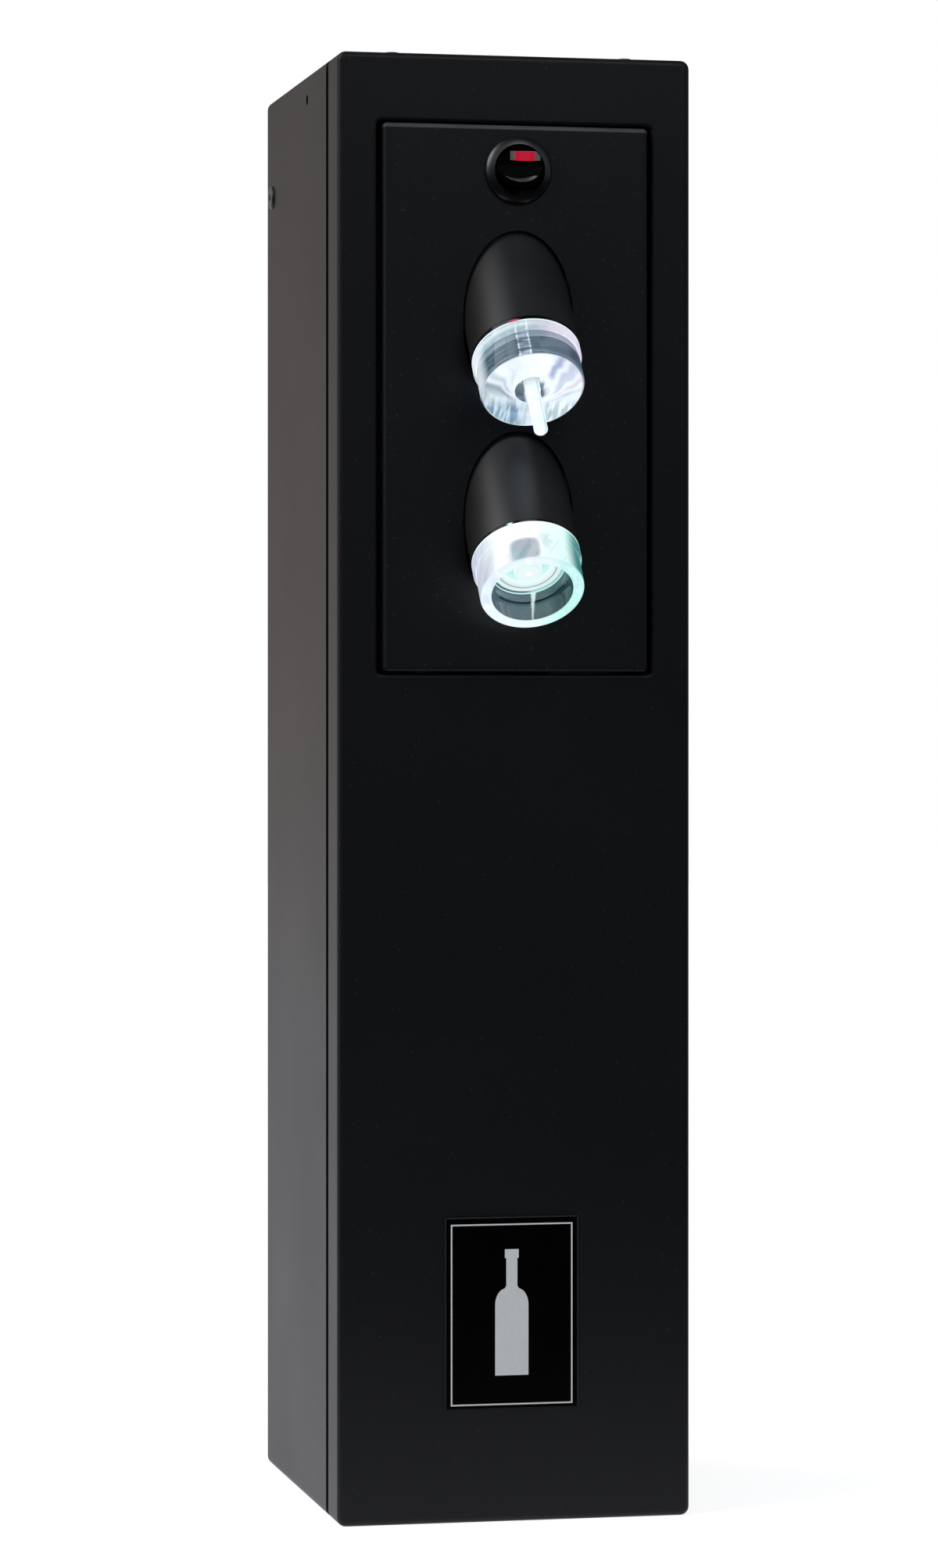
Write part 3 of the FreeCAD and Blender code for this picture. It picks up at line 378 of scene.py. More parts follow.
def rocker_lip(shape):
    """Painted highlight: a thin crescent sheet along the edge of the rocker's lower half, which
    stands out of the bezel.
    """
    valley = Vector((0, 1.06, 6.05)) * MM       # where the rocker's two halves meet
    to_axis = 1.68 * MM                         # from there to the middle of the edge's circle
    edge_r = 7.75 * MM
    middle, half = 0.1 * MM, 5.4 * MM
    least, swell, lean = 0.2 * MM, 1.1 * MM, 0.5 * MM   # width at the ends, more in the middle
                                                        # and towards one side
    proud = 0.08 * MM
    steps = 16
    sine, cosine = math.sin(ROCKER_TILT), math.cos(ROCKER_TILT)
    outline = []
    for side in (1, -1):
        for i in range(steps + 1):
            t = side * (2 * i / steps - 1)
            u = middle + half * t
            down = math.sqrt(edge_r ** 2 - u * u) - to_axis
            if side < 0:
                down -= least + (swell + lean * t) * (1 - t * t) ** 0.5
            outline.append(valley + Vector((u, -down * cosine, down * sine)))
    rise = Vector((0, sine, cosine)) * proud
    top = [shape.verts.new(SWITCH @ (point + rise)) for point in outline]
    bottom = [shape.verts.new(SWITCH @ (point - rise * 6)) for point in outline]
    shape.faces.new(top)
    shape.faces.new(bottom[::-1])
    for i, start in enumerate(top):
        j = (i + 1) % len(top)
        shape.faces.new((start, bottom[i], bottom[j], top[j]))


def rocker_window(shape):
    """Lit window in the rocker's upper half, one corner cut to the round of the opening."""
    low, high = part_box("rocker_lens")
    reach = 8.3 * MM
    left, right = -3.3 * MM, 7.0 * MM
    bottom, top = 3.1 * MM, 6.2 * MM
    proud, edge_round, shortest_edge = 0.08 * MM, 0.12 * MM, 1.0 * MM
    steps = 6
    top_x = math.sqrt(reach ** 2 - top ** 2)
    right_y = math.sqrt(reach ** 2 - right ** 2)
    first, last = math.atan2(right_y, right), math.atan2(top, top_x)
    outline = [(left, bottom), (right, bottom), (right, right_y)]
    for i in range(1, steps):
        turn = first + (last - first) * i / steps
        outline.append((reach * math.cos(turn), reach * math.sin(turn)))
    outline += [(top_x, top), (left, top)]
    at = SWITCH.translation
    plate_from_outline(shape, [(at.x + x, at.z + z) for x, z in outline], low.y - proud, high.y)
    edges = [edge for edge in shape.edges if edge.calc_length() > shortest_edge]
    bmesh.ops.bevel(shape, geom=edges, offset=edge_round, segments=2, affect="EDGES")


def pressed_spring(head, finish):
    """Copy of a head's return spring, riding on the column in place of the hidden CAD spring."""
    node = NODES[f"{head.name}_spring"]
    shape = bmesh.new()
    shape.from_mesh(node.data)
    bmesh.ops.remove_doubles(shape, verts=shape.verts, dist=MERGE_WITHIN)
    coil = shape_piece(f"{head.name}_coil", shape, finish, COLUMN)
    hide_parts(node.name)
    reach = [vertex.co.dot(head.out) for vertex in coil.data.vertices]
    length = max(reach) - min(reach)
    tuple(head.out * min(reach))
    1 - head.travel / length
    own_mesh(coil)


def dome_ring(head, finish, settings):
    """Clear dome on each diode of a head's ring board, set out by Geometry Nodes."""
    group = Tree(bpy.data.node_groups.new(f"{head.name}_dome_ring", "GeometryNodeTree"))
    values = {"Count": 6, "Pitch radius": 9.5 * MM, "Dome radius": settings.dome, "Seed": 7}
    for name, value in values.items():
        kind = "NodeSocketInt" if isinstance(value, int) else "NodeSocketFloat"
        group.tree.interface.new_socket(name, in_out="INPUT", socket_type=kind)
    group.tree.interface.new_socket("Domes", in_out="OUTPUT", socket_type="NodeSocketGeometry")
    given = group.add("NodeGroupInput").outputs
    circle = group.add("GeometryNodeMeshCircle", {}, {"Vertices": given["Count"],
                                                      "Radius": given["Pitch radius"]})
    dome = group.add("GeometryNodeMeshUVSphere", {}, {"Segments": 20, "Rings": 10,
                                                      "Radius": given["Dome radius"]})
    size = group.add("FunctionNodeRandomValue", {"data_type": "FLOAT"},
                     {2: 0.94, 3: 1.0, "Seed": given["Seed"]}).outputs[1]
    domes = group.add("GeometryNodeInstanceOnPoints", {},
                      {"Points": circle.outputs["Mesh"], "Instance": dome.outputs["Mesh"],
                       "Scale": size}).outputs["Instances"]
    domes = group.add("GeometryNodeRealizeInstances", {}, {"Geometry": domes}).outputs["Geometry"]
    domes = group.add("GeometryNodeSetMaterial", {}, {"Geometry": domes,
                                                      "Material": finish.material})
    group.add("NodeGroupOutput", {}, {"Domes": domes.outputs["Geometry"]})
    return grown_piece(f"{head.name}_led_domes", group.tree, values, head.matrix(9.3 * MM), COLUMN)


def grown_piece(name, tree, values, matrix, body):
    """Runs a Geometry Nodes tree once and keeps its result as a plain mesh on a CAD body."""
    source = bpy.data.objects.new(f"{name}_source", bpy.data.meshes.new(name))
    bpy.context.scene.collection.objects.link(source)
    modifier = source.modifiers.new("shape", "NODES")
    modifier.node_group = tree
    for item in tree.interface.items_tree:
        if item.in_out == "INPUT":
            modifier[item.identifier] = values[item.name]
    ready = source.evaluated_get(bpy.context.evaluated_depsgraph_get())
    mesh = bpy.data.meshes.new_from_object(ready)
    source.modifiers.remove(modifier)
    bpy.data.objects.remove(source)
    mesh.transform(matrix)
    piece = bpy.data.objects.new(name, mesh)
    bpy.context.scene.collection.objects.link(piece)
    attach(piece, body)
    return piece


# ---- Finishes -----------------------------------------------------------------------------------
def powder_coat(name, settings, tint=1.0):
    """Fine-textured black powder coat, a little uneven and dusty."""
    base = tuple(c * tint for c in settings.coat)
    coat = Finish(name, {"Specular IOR Level": 0.22})
    grain = coat.noise(1 / settings.grain, 3.0, 0.6)
    cloud = coat.noise(14.0, 3.0, 0.55)
    dust = coat.noise(900.0, 1.0, 0.4).step(0.7, 0.78)
    pale = tuple(min(1.0, c * 1.5 + 0.001) for c in base)
    mixed = coat.colour(cloud * 0.7 + grain * 0.3, base, pale)
    coat.set(Base_Color=coat.colour(dust * 0.08, mixed, (0.25, 0.25, 0.25)),
             Roughness=settings.sheen + (cloud - 0.5) * 0.08 + (grain - 0.5) * 0.1)
    coat.bump(grain, 0.22, 0.05 * MM)
    return coat


def plate_with_top_highlight(name, settings):
    """The head plate's coat, with a painted highlight along its top edge."""
    coat = powder_coat(name, settings, 1.15)
    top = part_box("head_plate")[1].z
    # Painted highlight: the rounding of the top edge is lightened, broken up by noise.
    near = coat.dot(coat.place, (0, 0, 1)).step(top - 1.8 * MM, top - 1.1 * MM)
    highlight_breakup = coat.noise(40.0, 2.0, 0.5, stretch=(1, 1, 0.1)).step(0.2, 0.7)
    socket = coat.shader.inputs["Base Color"]
    coat.set(Base_Color=coat.colour(near * (0.5 + highlight_breakup * 0.5), socket.links[0].from_socket,
                                    (0.085, 0.087, 0.09)))
    return coat


def satin_black(name, colour, roughness=0.38):
    """Black anodised tube with fine wear."""
    metal = Finish(name, {"Specular IOR Level": 0.5})
    fine = metal.noise(1400.0, 2.0, 0.6)
    cloud = metal.noise(60.0, 2.0, 0.5)
    pale = tuple(c * 1.7 + 0.002 for c in colour)
    metal.set(Base_Color=metal.colour(cloud, tuple(colour), pale),
              Roughness=roughness + (fine - 0.5) * 0.12)
    metal.bump(fine, 0.15, 0.03 * MM)
    return metal


def zinc_plate(name):
    metal = Finish(name, {"Metallic": 1.0})
    spangle = metal.noise(180.0, 2.0, 0.5)
    brush = metal.noise(500.0, 2.0, 0.6, stretch=(1, 1, 0.05))
    metal.set(Base_Color=metal.colour(spangle, (0.5, 0.51, 0.5), (0.68, 0.68, 0.64)),
              Roughness=0.3 + brush * 0.2)
    return metal


def turned_metal(name, dark, pale):
    metal = Finish(name, {"Metallic": 1.0})
    cloud = metal.noise(220.0, 3.0, 0.5)
    metal.set(Base_Color=metal.colour(cloud, dark, pale), Roughness=0.22 + cloud * 0.15)
    return metal


def moulded(name, dark, pale, roughness=0.4, level=0.5):
    """Moulded plastic or rubber with a faint spark-eroded texture."""
    plastic = Finish(name, {"Specular IOR Level": level})
    texture = plastic.noise(900.0, 2.0, 0.6)
    cloud = plastic.noise(90.0, 2.0, 0.5)
    plastic.set(Base_Color=plastic.colour(cloud, dark, pale),
                Roughness=roughness + (texture - 0.5) * 0.15)
    plastic.bump(texture, 0.1, 0.02 * MM)
    return plastic


# The finishes of the clear ends lay out their painted light and shade in millimetres: x to the
# right, y down, out along the head from the column's front, and radius from the head's axis.
ACRYLIC = (0.03, 0.045, 0.055)
OUTER_WALL = (16.6, 16.9)   # radius, from the bore's surfaces to the outer wall
LENS_FACE = (36.0, 36.25)   # out, from the wall to the end face
CUP_LIP = (35.6, 35.95)     # out, from the wall to the lip
LENS_JOINT = 21.35          # out, where each end's glued joint stops
CUP_JOINT = 20.7


def lit_acrylic(name, strength):
    """Polished acrylic that carries the light of its ring board out to its surfaces."""
    return Finish(name, {"Base Color": ACRYLIC, "Roughness": 0.04, "IOR": 1.49,
                         "Transmission Weight": 0.45, "Emission Strength": strength})


# Painted reflections of the diodes, as streaks on the upper clear end's face: from one angle to
# another about a point 8 mm below its middle, in radians, how strong they are and their colour.
FACE_LIGHT_STREAKS = ((-2.72, -2.66, 0.7, (0.6, 0.36, 0.48)), (-2.64, -2.5, 0.9, (0.2, 0.25, 0.36)),
                (-2.42, -2.3, 0.6, (0.36, 0.42, 0.5)), (-2.12, -2.05, 0.4, (0.5, 0.5, 0.62)),
                (-1.3, -1.17, 0.85, (0.24, 0.26, 0.5)), (-1.05, -0.8, 0.65, (0.34, 0.34, 0.54)),
                (-0.7, -0.6, 0.6, (0.62, 0.42, 0.56)), (-0.5, -0.4, 0.5, (0.4, 0.5, 0.6)))


def lit_lens(name, head, strength):
    """Upper clear end, its light and shade painted in its emission: bright joint line, pale band,
    slate band and a white end face with painted streaks.
    """
    lens = lit_acrylic(name, strength)
    x, y, out, radius = lens.head_lines(head)
    turn = lens.math("ARCTAN2", y, x)
    fan = lens.math("ARCTAN2", y - 8.0, x)
    streak = lens.noise(1.0, 2.0, 0.5, lens.vector(fan * 3.2, radius * 0.06, 0.0))
    upright = lens.noise(1.0, 2.0, 0.5, lens.vector(x * 0.55, y * 0.07, 0.0))
    wave = lens.noise(1.0, 2.0, 0.5, lens.vector(turn * 2.2, out * 0.12, 5.0)) - 0.5
    broken = lens.noise(1.0, 3.0, 0.7, lens.vector(turn * 1.2, out * 0.55, 9.0))
    haze = lens.noise(90.0, 3.0, 0.6)
    right = x.step(-6.0, 9.0)
    above = 1 - y.step(-4.0, 1.0)
    band = out + wave * 1.6
    # Painted image of the pin seen through the wall: two pale lines, broken up by noise.
    light_line = x + (broken - 0.5) * 0.9
    edges = (light_line.band(-7.0, -6.5, 0.25) + light_line.band(-3.5, -3.0, 0.25)) * broken.step(0.36, 0.56)
    # Painted light and shade on the wall: pale and slate bands, darker further out, pale flanks as
    # painted reflections, the pin seen through and a bright line by the joint.
    wall = lens.layers(
        lens.colour(right, (0.33, 0.45, 0.5), (0.68, 0.62, 0.74)),
        (haze.step(0.45, 0.7) * 0.4, (0.85, 0.9, 0.95)),
        (band.band(22.6, 24.3, 0.5) * (1 - right) * 0.75, (0.72, 0.82, 0.88)),
        (band.step(25.4, 26.4), lens.colour(right, (0.2, 0.28, 0.33), (0.36, 0.36, 0.46))),
        (band.band(26.3, 26.7, 0.12) + band.band(27.4, 27.7, 0.12), (0.09, 0.1, 0.14)),
        (band.step(28.2, 29.0), lens.colour(right, (0.05, 0.085, 0.105), (0.05, 0.065, 0.1))),
        (out.step(28.4, 29.2) * broken.step(0.5, 0.66) * (1 - right) * 0.5, (0.22, 0.3, 0.38)),
        ((1 - x.step(-17.6, -15.6)) * 0.8, (0.75, 0.8, 0.86)),
        (x.step(15.8, 17.4) * 0.6, (0.6, 0.6, 0.72)),
        (x.band(-6.6, -3.4, 0.3) * above * out.step(24.5, 26.5) * broken.step(0.4, 0.62),
         (0.42, 0.44, 0.58)),
        (edges * above * 0.9, (0.85, 0.93, 1.0)),
        (1 - out.step(21.6, 22.2), (0.85, 0.95, 1.0)),
        (joint_mask(out, LENS_JOINT), (0.0, 0.0, 0.0)),
        # Painted red glint just outside the black glued joint.
        (x.band(-8.5, -5.6, 0.8) * above * out.band(20.6, 21.6, 0.3), (0.55, 0.08, 0.14)))
    outer = radius.step(6.0, 9.0) * (0.55 + streak * 0.9)
    bend = lens.noise(1.0, 1.0, 0.5, lens.vector(radius * 0.16, fan * 0.7, 7.0)) - 0.5
    bent = fan + bend * 0.5
    light_streaks = [(bent.band(start, end, 0.06) * outer * amount, colour)
               for start, end, amount, colour in FACE_LIGHT_STREAKS]
    # Painted light on the end face: white, with the diodes' painted reflections as streaks, painted
    # shade at the lower left and a bright rim.
    face = lens.layers(
        (0.84, 0.92, 0.98),
        (streak.step(0.5, 0.66) * radius.step(9.0, 14.0) * 0.35, (0.5, 0.52, 0.68)),
        *light_streaks,
        (y.step(2.0, 9.0) * (1 - x.step(-5.0, 3.0)) * 0.95, (0.16, 0.27, 0.38)),
        ((1 - x.step(-15.0, -7.0)) * y.band(-2.0, 7.0, 2.0) * 0.7, (0.34, 0.44, 0.46)),
        (y.step(0.0, 6.0) * upright.step(0.46, 0.6) * 0.7, (0.72, 0.86, 0.95)),
        (x.step(3.0, 8.0) * y.step(3.0, 8.0) * upright.step(0.46, 0.56) * 0.7, (0.3, 0.42, 0.46)),
        (x.band(-2.0, 3.0, 1.5) * (1 - y.step(-9.0, -5.0)) * 0.8, (0.95, 1.0, 1.0)),
        (radius.step(16.2, 16.8) * 0.7, lens.colour(y.step(4.0, 12.0), (0.55, 0.58, 0.7),
                                                    (0.95, 1.0, 1.0))))
    pale = (0.7, 0.78, 0.84)
    # Painted shade in the recess: two dark patches beside the pin on a pale ground.
    recess = lens.layers(
        pale, (x.band(-5.6, -1.2, 0.6), (0.06, 0.09, 0.11)),
        (x.band(0.8, 5.0, 0.7) * (1 - out.step(34.6, 35.8)), (0.07, 0.1, 0.16)))
    lens.set(Emission_Color=lens.layers(recess, (radius.step(*OUTER_WALL), wall),
                                        (out.step(*LENS_FACE), face)))
    return glued_joint(lens, out, LENS_JOINT)


def joint_mask(out, end):
    """1 where a clear end is glued to its barrel, up to a distance outwards."""
    return 1 - out.step(end - 0.1, end + 0.1)


def glued_joint(clear, out, end):
    """Blackens the glued joint of a clear end."""
    clear.set(Base_Color=clear.colour(joint_mask(out, end), ACRYLIC, (0.002, 0.002, 0.002)))
    return clear


def lit_seal(name, head, strength):
    """Soft washer round the pin, with painted light: bright above it, grey at its sides."""
    seal = Finish(name, {"Roughness": 0.45, "Emission Strength": strength})
    x, y, _, _ = seal.head_lines(head)
    grey = seal.colour(x.step(-1.0, 1.0), (0.05, 0.075, 0.09), (0.05, 0.08, 0.13))
    sides = x.band(-5.8, -1.2, 0.5) + x.band(1.2, 4.8, 0.5)
    speck = seal.noise(700.0, 2.0, 0.5)
    seal.set(Base_Color=seal.colour(speck, (0.2, 0.23, 0.24), (0.28, 0.31, 0.32)),
             Emission_Color=seal.layers((0.75, 0.84, 0.9), (sides * y.step(-1.0, 1.6), grey)))
    return seal


def lit_cup(name, head, strength):
    """Lower clear end, its light and shade painted in its emission: a nearly white wall and lip
    round a deep slate mouth.
    """
    cup = lit_acrylic(name, strength)
    x, y, out, radius = cup.head_lines(head)
    haze = cup.noise(80.0, 3.0, 0.6)
    turn = cup.math("ARCTAN2", y, x)
    streak = cup.noise(1.0, 2.0, 0.5, cup.vector(turn * 3.0, out * 0.12, 0.0))
    slant = cup.noise(1.0, 2.0, 0.5, cup.vector(turn * 4.0 + out * 0.16, 0.0, 4.0))
    broken = cup.noise(1.0, 3.0, 0.7, cup.vector(0.0, out * 0.4, 9.0))
    above = 1 - y.step(-4.0, 1.0)
    # Painted image of the gas nozzle seen through the wall, grey with a pale streak.
    nozzle_image_x = (x + 4.8 + (haze - 0.5) * 1.6) / 4.7
    nozzle_image_out = (out - 31.8) / 4.6
    nozzle_image = (nozzle_image_x * nozzle_image_x * nozzle_image_x * nozzle_image_x + nozzle_image_out * nozzle_image_out * nozzle_image_out * nozzle_image_out)
    nozzle_image = (1 - nozzle_image.step(0.2, 1.7)) * above
    # Painted light and shade on the wall: white to pale teal, painted streaks, a lavender left
    # flank, a darker teal right side, the nozzle's painted image and a bright line by the joint.
    wall = cup.layers(
        cup.colour(x.step(-4.0, 10.0), (0.95, 0.97, 1.0), (0.75, 1.0, 0.95)),
        (streak.step(0.55, 0.68) * 0.45, (0.5, 0.66, 0.68)),
        (x.band(3.0, 9.0, 1.5) * above * slant.step(0.5, 0.6) * out.step(24.0, 27.0) * 0.6,
         (0.32, 0.48, 0.46)),
        ((1 - x.step(-18.0, -11.5)) * 0.9, cup.colour(slant.step(0.3, 0.7), (0.42, 0.44, 0.54),
                                                      (0.58, 0.6, 0.7))),
        (x.step(8.5, 14.5), (0.04, 0.2, 0.19)),
        (x.step(16.6, 17.6) * 0.6, (0.4, 0.7, 0.68)),
        (nozzle_image, cup.colour(out.step(28.5, 33.0), (0.38, 0.43, 0.5), (0.3, 0.42, 0.45))),
        (nozzle_image * slant.step(0.45, 0.6) * 0.6, (0.62, 0.62, 0.68)),
        ((1 - out.step(21.0, 21.9)) * 0.7, (0.9, 1.0, 1.0)),
        (joint_mask(out, CUP_JOINT), (0.0, 0.0, 0.0)),
        # Painted cyan-white glint on the black glued joint.
        (x.band(-8.8, -7.4, 0.6) * above * (1 - out.step(20.9, 21.2)), (0.75, 0.95, 0.95)))
    # Painted light on the lip: pale blue to teal, with lighter streaks.
    lip = cup.layers(cup.colour(x.step(2.0, 12.0), (0.74, 0.84, 0.92), (0.5, 0.85, 0.8)),
                     (slant.step(0.5, 0.65) * 0.4, (1.0, 1.0, 1.0)))
    # Painted light and shade in the mouth: dark slate, darker to the right, with a bright line down
    # it and a bright ring near the floor.
    deep = (36.3 - out) / 12.0
    light_line = cup.math("ABSOLUTE", x - 2.3 - deep * 1.7 + (broken - 0.5) * 0.5)
    light_line = 1 - (light_line / (0.35 + deep * deep * 0.6)).step(0.4, 1.4)
    bore = cup.layers(
        cup.colour(x.step(-3.0, 5.0), (0.003, 0.02, 0.032), (0.0, 0.008, 0.01)),
        (haze.step(0.5, 0.75) * 0.4, (0.03, 0.055, 0.065)),
        (x.step(7.0, 12.0) * (1 - out.step(26.0, 30.0)) * 0.35, (0.03, 0.12, 0.11)),
        (light_line * y.step(4.0, 7.0) * (0.3 + deep * 0.5 + broken * 0.3), (0.66, 0.82, 0.79)),
        (1 - out.step(24.9, 25.2), (0.5, 0.8, 0.77)))
    cup.set(Emission_Color=cup.layers(bore, (radius.step(*OUTER_WALL), wall),
                                      (out.step(*CUP_LIP), lip)))
    return glued_joint(cup, out, CUP_JOINT)


def lit_floor(name, head, strength):
    """Ring seal on the floor of the cup, with painted light: dark teal with pale edges."""
    seal = Finish(name, {"Roughness": 0.4, "Emission Strength": strength})
    x, _, _, radius = seal.head_lines(head)
    speck = seal.noise(700.0, 2.0, 0.5)
    left = 1 - x.step(1.0, 4.0)
    seal.set(Base_Color=seal.colour(speck, (0.1, 0.13, 0.13), (0.16, 0.2, 0.2)),
             Emission_Color=seal.layers(
                 (0.72, 0.84, 0.83), (radius.band(9.6, 10.2, 0.15), (0.3, 0.46, 0.45)),
                 (radius.step(11.5, 11.8), seal.colour(left, (0.26, 0.52, 0.5),
                                                       (0.04, 0.1, 0.11)))))
    return seal


def lit_pin(name, head, strength):
    """Clear pin of the upper head, white with painted light, with a painted grey-green line down
    its right side and painted shade further in.
    """
    pin = lit_acrylic(name, strength)
    x, y, out, _ = pin.head_lines(head)
    haze = pin.noise(260.0, 2.0, 0.5)
    pin.set(Emission_Color=pin.layers(
        (0.8, 0.92, 0.92),
        (haze.step(0.5, 0.7) * 0.5, (1.0, 0.96, 0.98)),
        (x.band(1.0, 1.9, 0.3) * y.band(-3.0, 2.0, 0.4) * 0.7, (0.42, 0.55, 0.54)),
        (1 - out.step(30.0, 38.0), (0.35, 0.4, 0.45))))
    return pin


def lit_board(name, colour, strength):
    """White ring board, all of it bright from its diodes."""
    board = Finish(name, {"Roughness": 0.6, "Emission Strength": strength})
    cloud = board.noise(250.0, 2.0, 0.5)
    board.set(Base_Color=board.colour(cloud, (0.7, 0.72, 0.72), (0.85, 0.86, 0.86)),
              Emission_Color=board.colour(cloud, tuple(c * 0.8 for c in colour), tuple(colour)))
    return board


# ---- Operators ----------------------------------------------------------------------------------
class COLUMN_OT_coat(bpy.types.Operator):
    """Coats the column's sheet-metal pieces"""
    bl_idname = "column.coat"
    bl_label = "Coat the column"

    def execute(self, context):
        settings = context.scene.column_finish
        powder_coat("cover_coat", settings).on("front_cover")
        powder_coat("casing_coat", settings).on("rear_casing", "cover_frame")
        plate_with_top_highlight("plate_coat", settings).on("head_plate")
        satin_black("screw_black", (0.02, 0.02, 0.021)).on("casing_screws", "cover_screws")
        return {"FINISHED"}


class COLUMN_OT_heads(bpy.types.Operator):
    """Finishes the barrels, clear ends, nozzles and lights of both heads"""
    bl_idname = "column.heads"
    bl_label = "Finish the heads"

    def execute(self, context):
        settings = context.scene.head_finish
        satin_black("barrel_black", settings.barrel).on("still_barrel", "sparkling_barrel")
        lit_lens("lens_acrylic", STILL, settings.glow).on("still_lens")
        lit_pin("pin_acrylic", STILL, settings.glow).on("still_nozzle")
        lit_cup("cup_acrylic", SPARKLING, settings.glow).on("sparkling_cup")
        gas = moulded("gas_nozzle_plastic", (0.35, 0.38, 0.38), (0.5, 0.54, 0.53), 0.3)
        # Painted light: the gas nozzle glows with the lower head's light.
        gas.set(Emission_Color=(0.68, 0.78, 0.78), Emission_Strength=settings.glow)
        gas.on("sparkling_nozzle")
        lit_seal("pin_seal", STILL, settings.glow).on("still_seal")
        lit_floor("cup_seal", SPARKLING, settings.glow).on("sparkling_seal")
        for head, colour in ((STILL, settings.still_light), (SPARKLING, settings.sparkling_light)):
            board = lit_board(f"{head.name}_light", colour, settings.brightness)
            board.on(f"{head.name}_led_board")
            dome_ring(head, board, settings)
        return {"FINISHED"}


class COLUMN_OT_switch(bpy.types.Operator):
    """Finishes the round rocker switch and its red window"""
    bl_idname = "column.switch"
    bl_label = "Finish the switch"

    def execute(self, context):
        settings = context.scene.switch_finish
        black = moulded("bezel_black", (0.002, 0.002, 0.002), (0.004, 0.004, 0.004), 0.3, 0.9)
        housing = turned_piece("switch_bezel", bezel_profile(), SWITCH, black, COLUMN)
        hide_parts("switch_housing")
        moulded("rocker_black", (0.0006, 0.0006, 0.0006), (0.001, 0.001, 0.001), 0.35, 0.03).on(
            "rocker")
        # Painted highlight on the rocker's rim: dark, lighter in patches, palest towards the right
        # end.
        lip = Finish("rocker_lip_grey", {"Roughness": 0.3})
        along = lip.coordinate((1, 0, 0), SWITCH.translation) * 1000
        rim_highlight_breakup = lip.noise(900.0, 2.0, 0.5)
        lip.set(Base_Color=lip.layers(
            (0.006, 0.006, 0.007), (rim_highlight_breakup.step(0.45, 0.6), (0.025, 0.025, 0.026)),
            (along.step(1.5, 4.8), (0.14, 0.14, 0.145))))
        mesh_piece("rocker_lip", rocker_lip, lip, ROCKER_BODY)
        window = Finish("window_red", {"Roughness": 0.2, "Emission Strength": settings.glow})
        along = window.coordinate((1, 0, 0), SWITCH.translation) * 1000
        across = window.math("ABSOLUTE", along - 1.7)
        lit = 1 - across.step(2.6, 4.2)
        core = (1 - across.step(1.0, 3.0)) * 0.6
        window.set(Base_Color=window.colour(lit, (0.14, 0.14, 0.13), (0.12, 0.002, 0.01)),
                   Emission_Color=window.layers((0.0, 0.0, 0.0), (lit, tuple(settings.lens)),
                                                (core, (1.0, 0.02, 0.07))))
        pane = mesh_piece("rocker_window", rocker_window, window, ROCKER_BODY)
        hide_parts("rocker_lens")
        return {"FINISHED"}


class COLUMN_OT_badge(bpy.types.Operator):
    """Finishes the badge, paints a highlight along its edge and prints its plain border and bottle
    sign
    """
    bl_idname = "column.badge"
    bl_label = "Print the badge"

    def execute(self, context):
        settings = context.scene.badge_finish
        foil = Finish("badge_foil", {"Specular IOR Level": 0.05})
        cloud = foil.noise(120.0, 2.0, 0.5)
        low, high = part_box("badge_plate")
        # Painted highlight: a pale line along the badge's left, right and top edges.
        clear_of_edge_highlight = 1.0
        for axis, corner in (((1, 0, 0), low), ((-1, 0, 0), high), ((0, 0, -1), high)):
            clear_of_edge_highlight = clear_of_edge_highlight * foil.coordinate(axis, corner).step(0.3 * MM, 0.55 * MM)
        black = foil.colour(cloud, (0.0006, 0.0006, 0.0007), (0.0011, 0.0011, 0.0013))
        foil.set(Base_Color=foil.colour(clear_of_edge_highlight, (0.035, 0.036, 0.04), black),
                 Roughness=0.25 + cloud * 0.1)
        foil.on("badge_plate")
        ink = Finish("badge_ink", {"Specular IOR Level": 0.4})
        speck = ink.noise(1500.0, 2.0, 0.5)
        pale = tuple(settings.ink)
        ink.set(Base_Color=ink.colour(speck, tuple(c * 0.88 for c in pale), pale),
                Roughness=0.45 + speck * 0.1)
        mesh_piece("badge_border", lambda shape: border_lines(shape, settings), ink, COLUMN)
        mesh_piece("badge_bottle", bottle_sign, ink, COLUMN)
        return {"FINISHED"}


def border_lines(shape, settings):
    """Four thin strips, mitred into one rectangle, just inside the badge's edge."""
    low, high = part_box("badge_plate")
    y = low.y
    lowered_foot, lowered_head = 1.0 * MM, 0.3 * MM
    corners = []
    for inset in (settings.margin, settings.margin + settings.border):
        foot = low.z + inset - lowered_foot
        head = high.z - inset - lowered_head
        corners.append([(low.x + inset, foot), (high.x - inset, foot),
                        (high.x - inset, head), (low.x + inset, head)])
    outer, inner = corners
    for i in range(4):
        j = (i + 1) % 4
        plate_from_outline(shape, [outer[i], outer[j], inner[j], inner[i]], y - PRINT_T, y)
    bmesh.ops.remove_doubles(shape, verts=shape.verts, dist=MERGE_WITHIN)


def bottle_sign(shape):
    """Plain outline of a wine bottle: a straight body, round shoulders and a neck with a lip."""
    low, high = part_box("badge_plate")
    centre_x = (low.x + high.x) / 2
    height = (high.z - low.z) * 0.66
    foot = low.z + (high.z - low.z) * 0.17
    body = height * 0.135
    neck = height * 0.045
    shoulder = height * 0.56
    side = [(body, 0.0), (body, shoulder)]
    steps = 10
    for i in range(1, steps):
        turn = math.pi / 2 * i / steps
        side.append((neck + (body - neck) * math.cos(turn),
                     shoulder + height * 0.13 * math.sin(turn)))
    side += [(neck, height * 0.71), (neck, height * 0.93), (neck * 1.25, height * 0.93),
             (neck * 1.25, height)]
    right = [(centre_x + x, foot + z) for x, z in side]
    left = [(centre_x - x, foot + z) for x, z in reversed(side)]
    plate_from_outline(shape, right + left, low.y - PRINT_T, low.y)


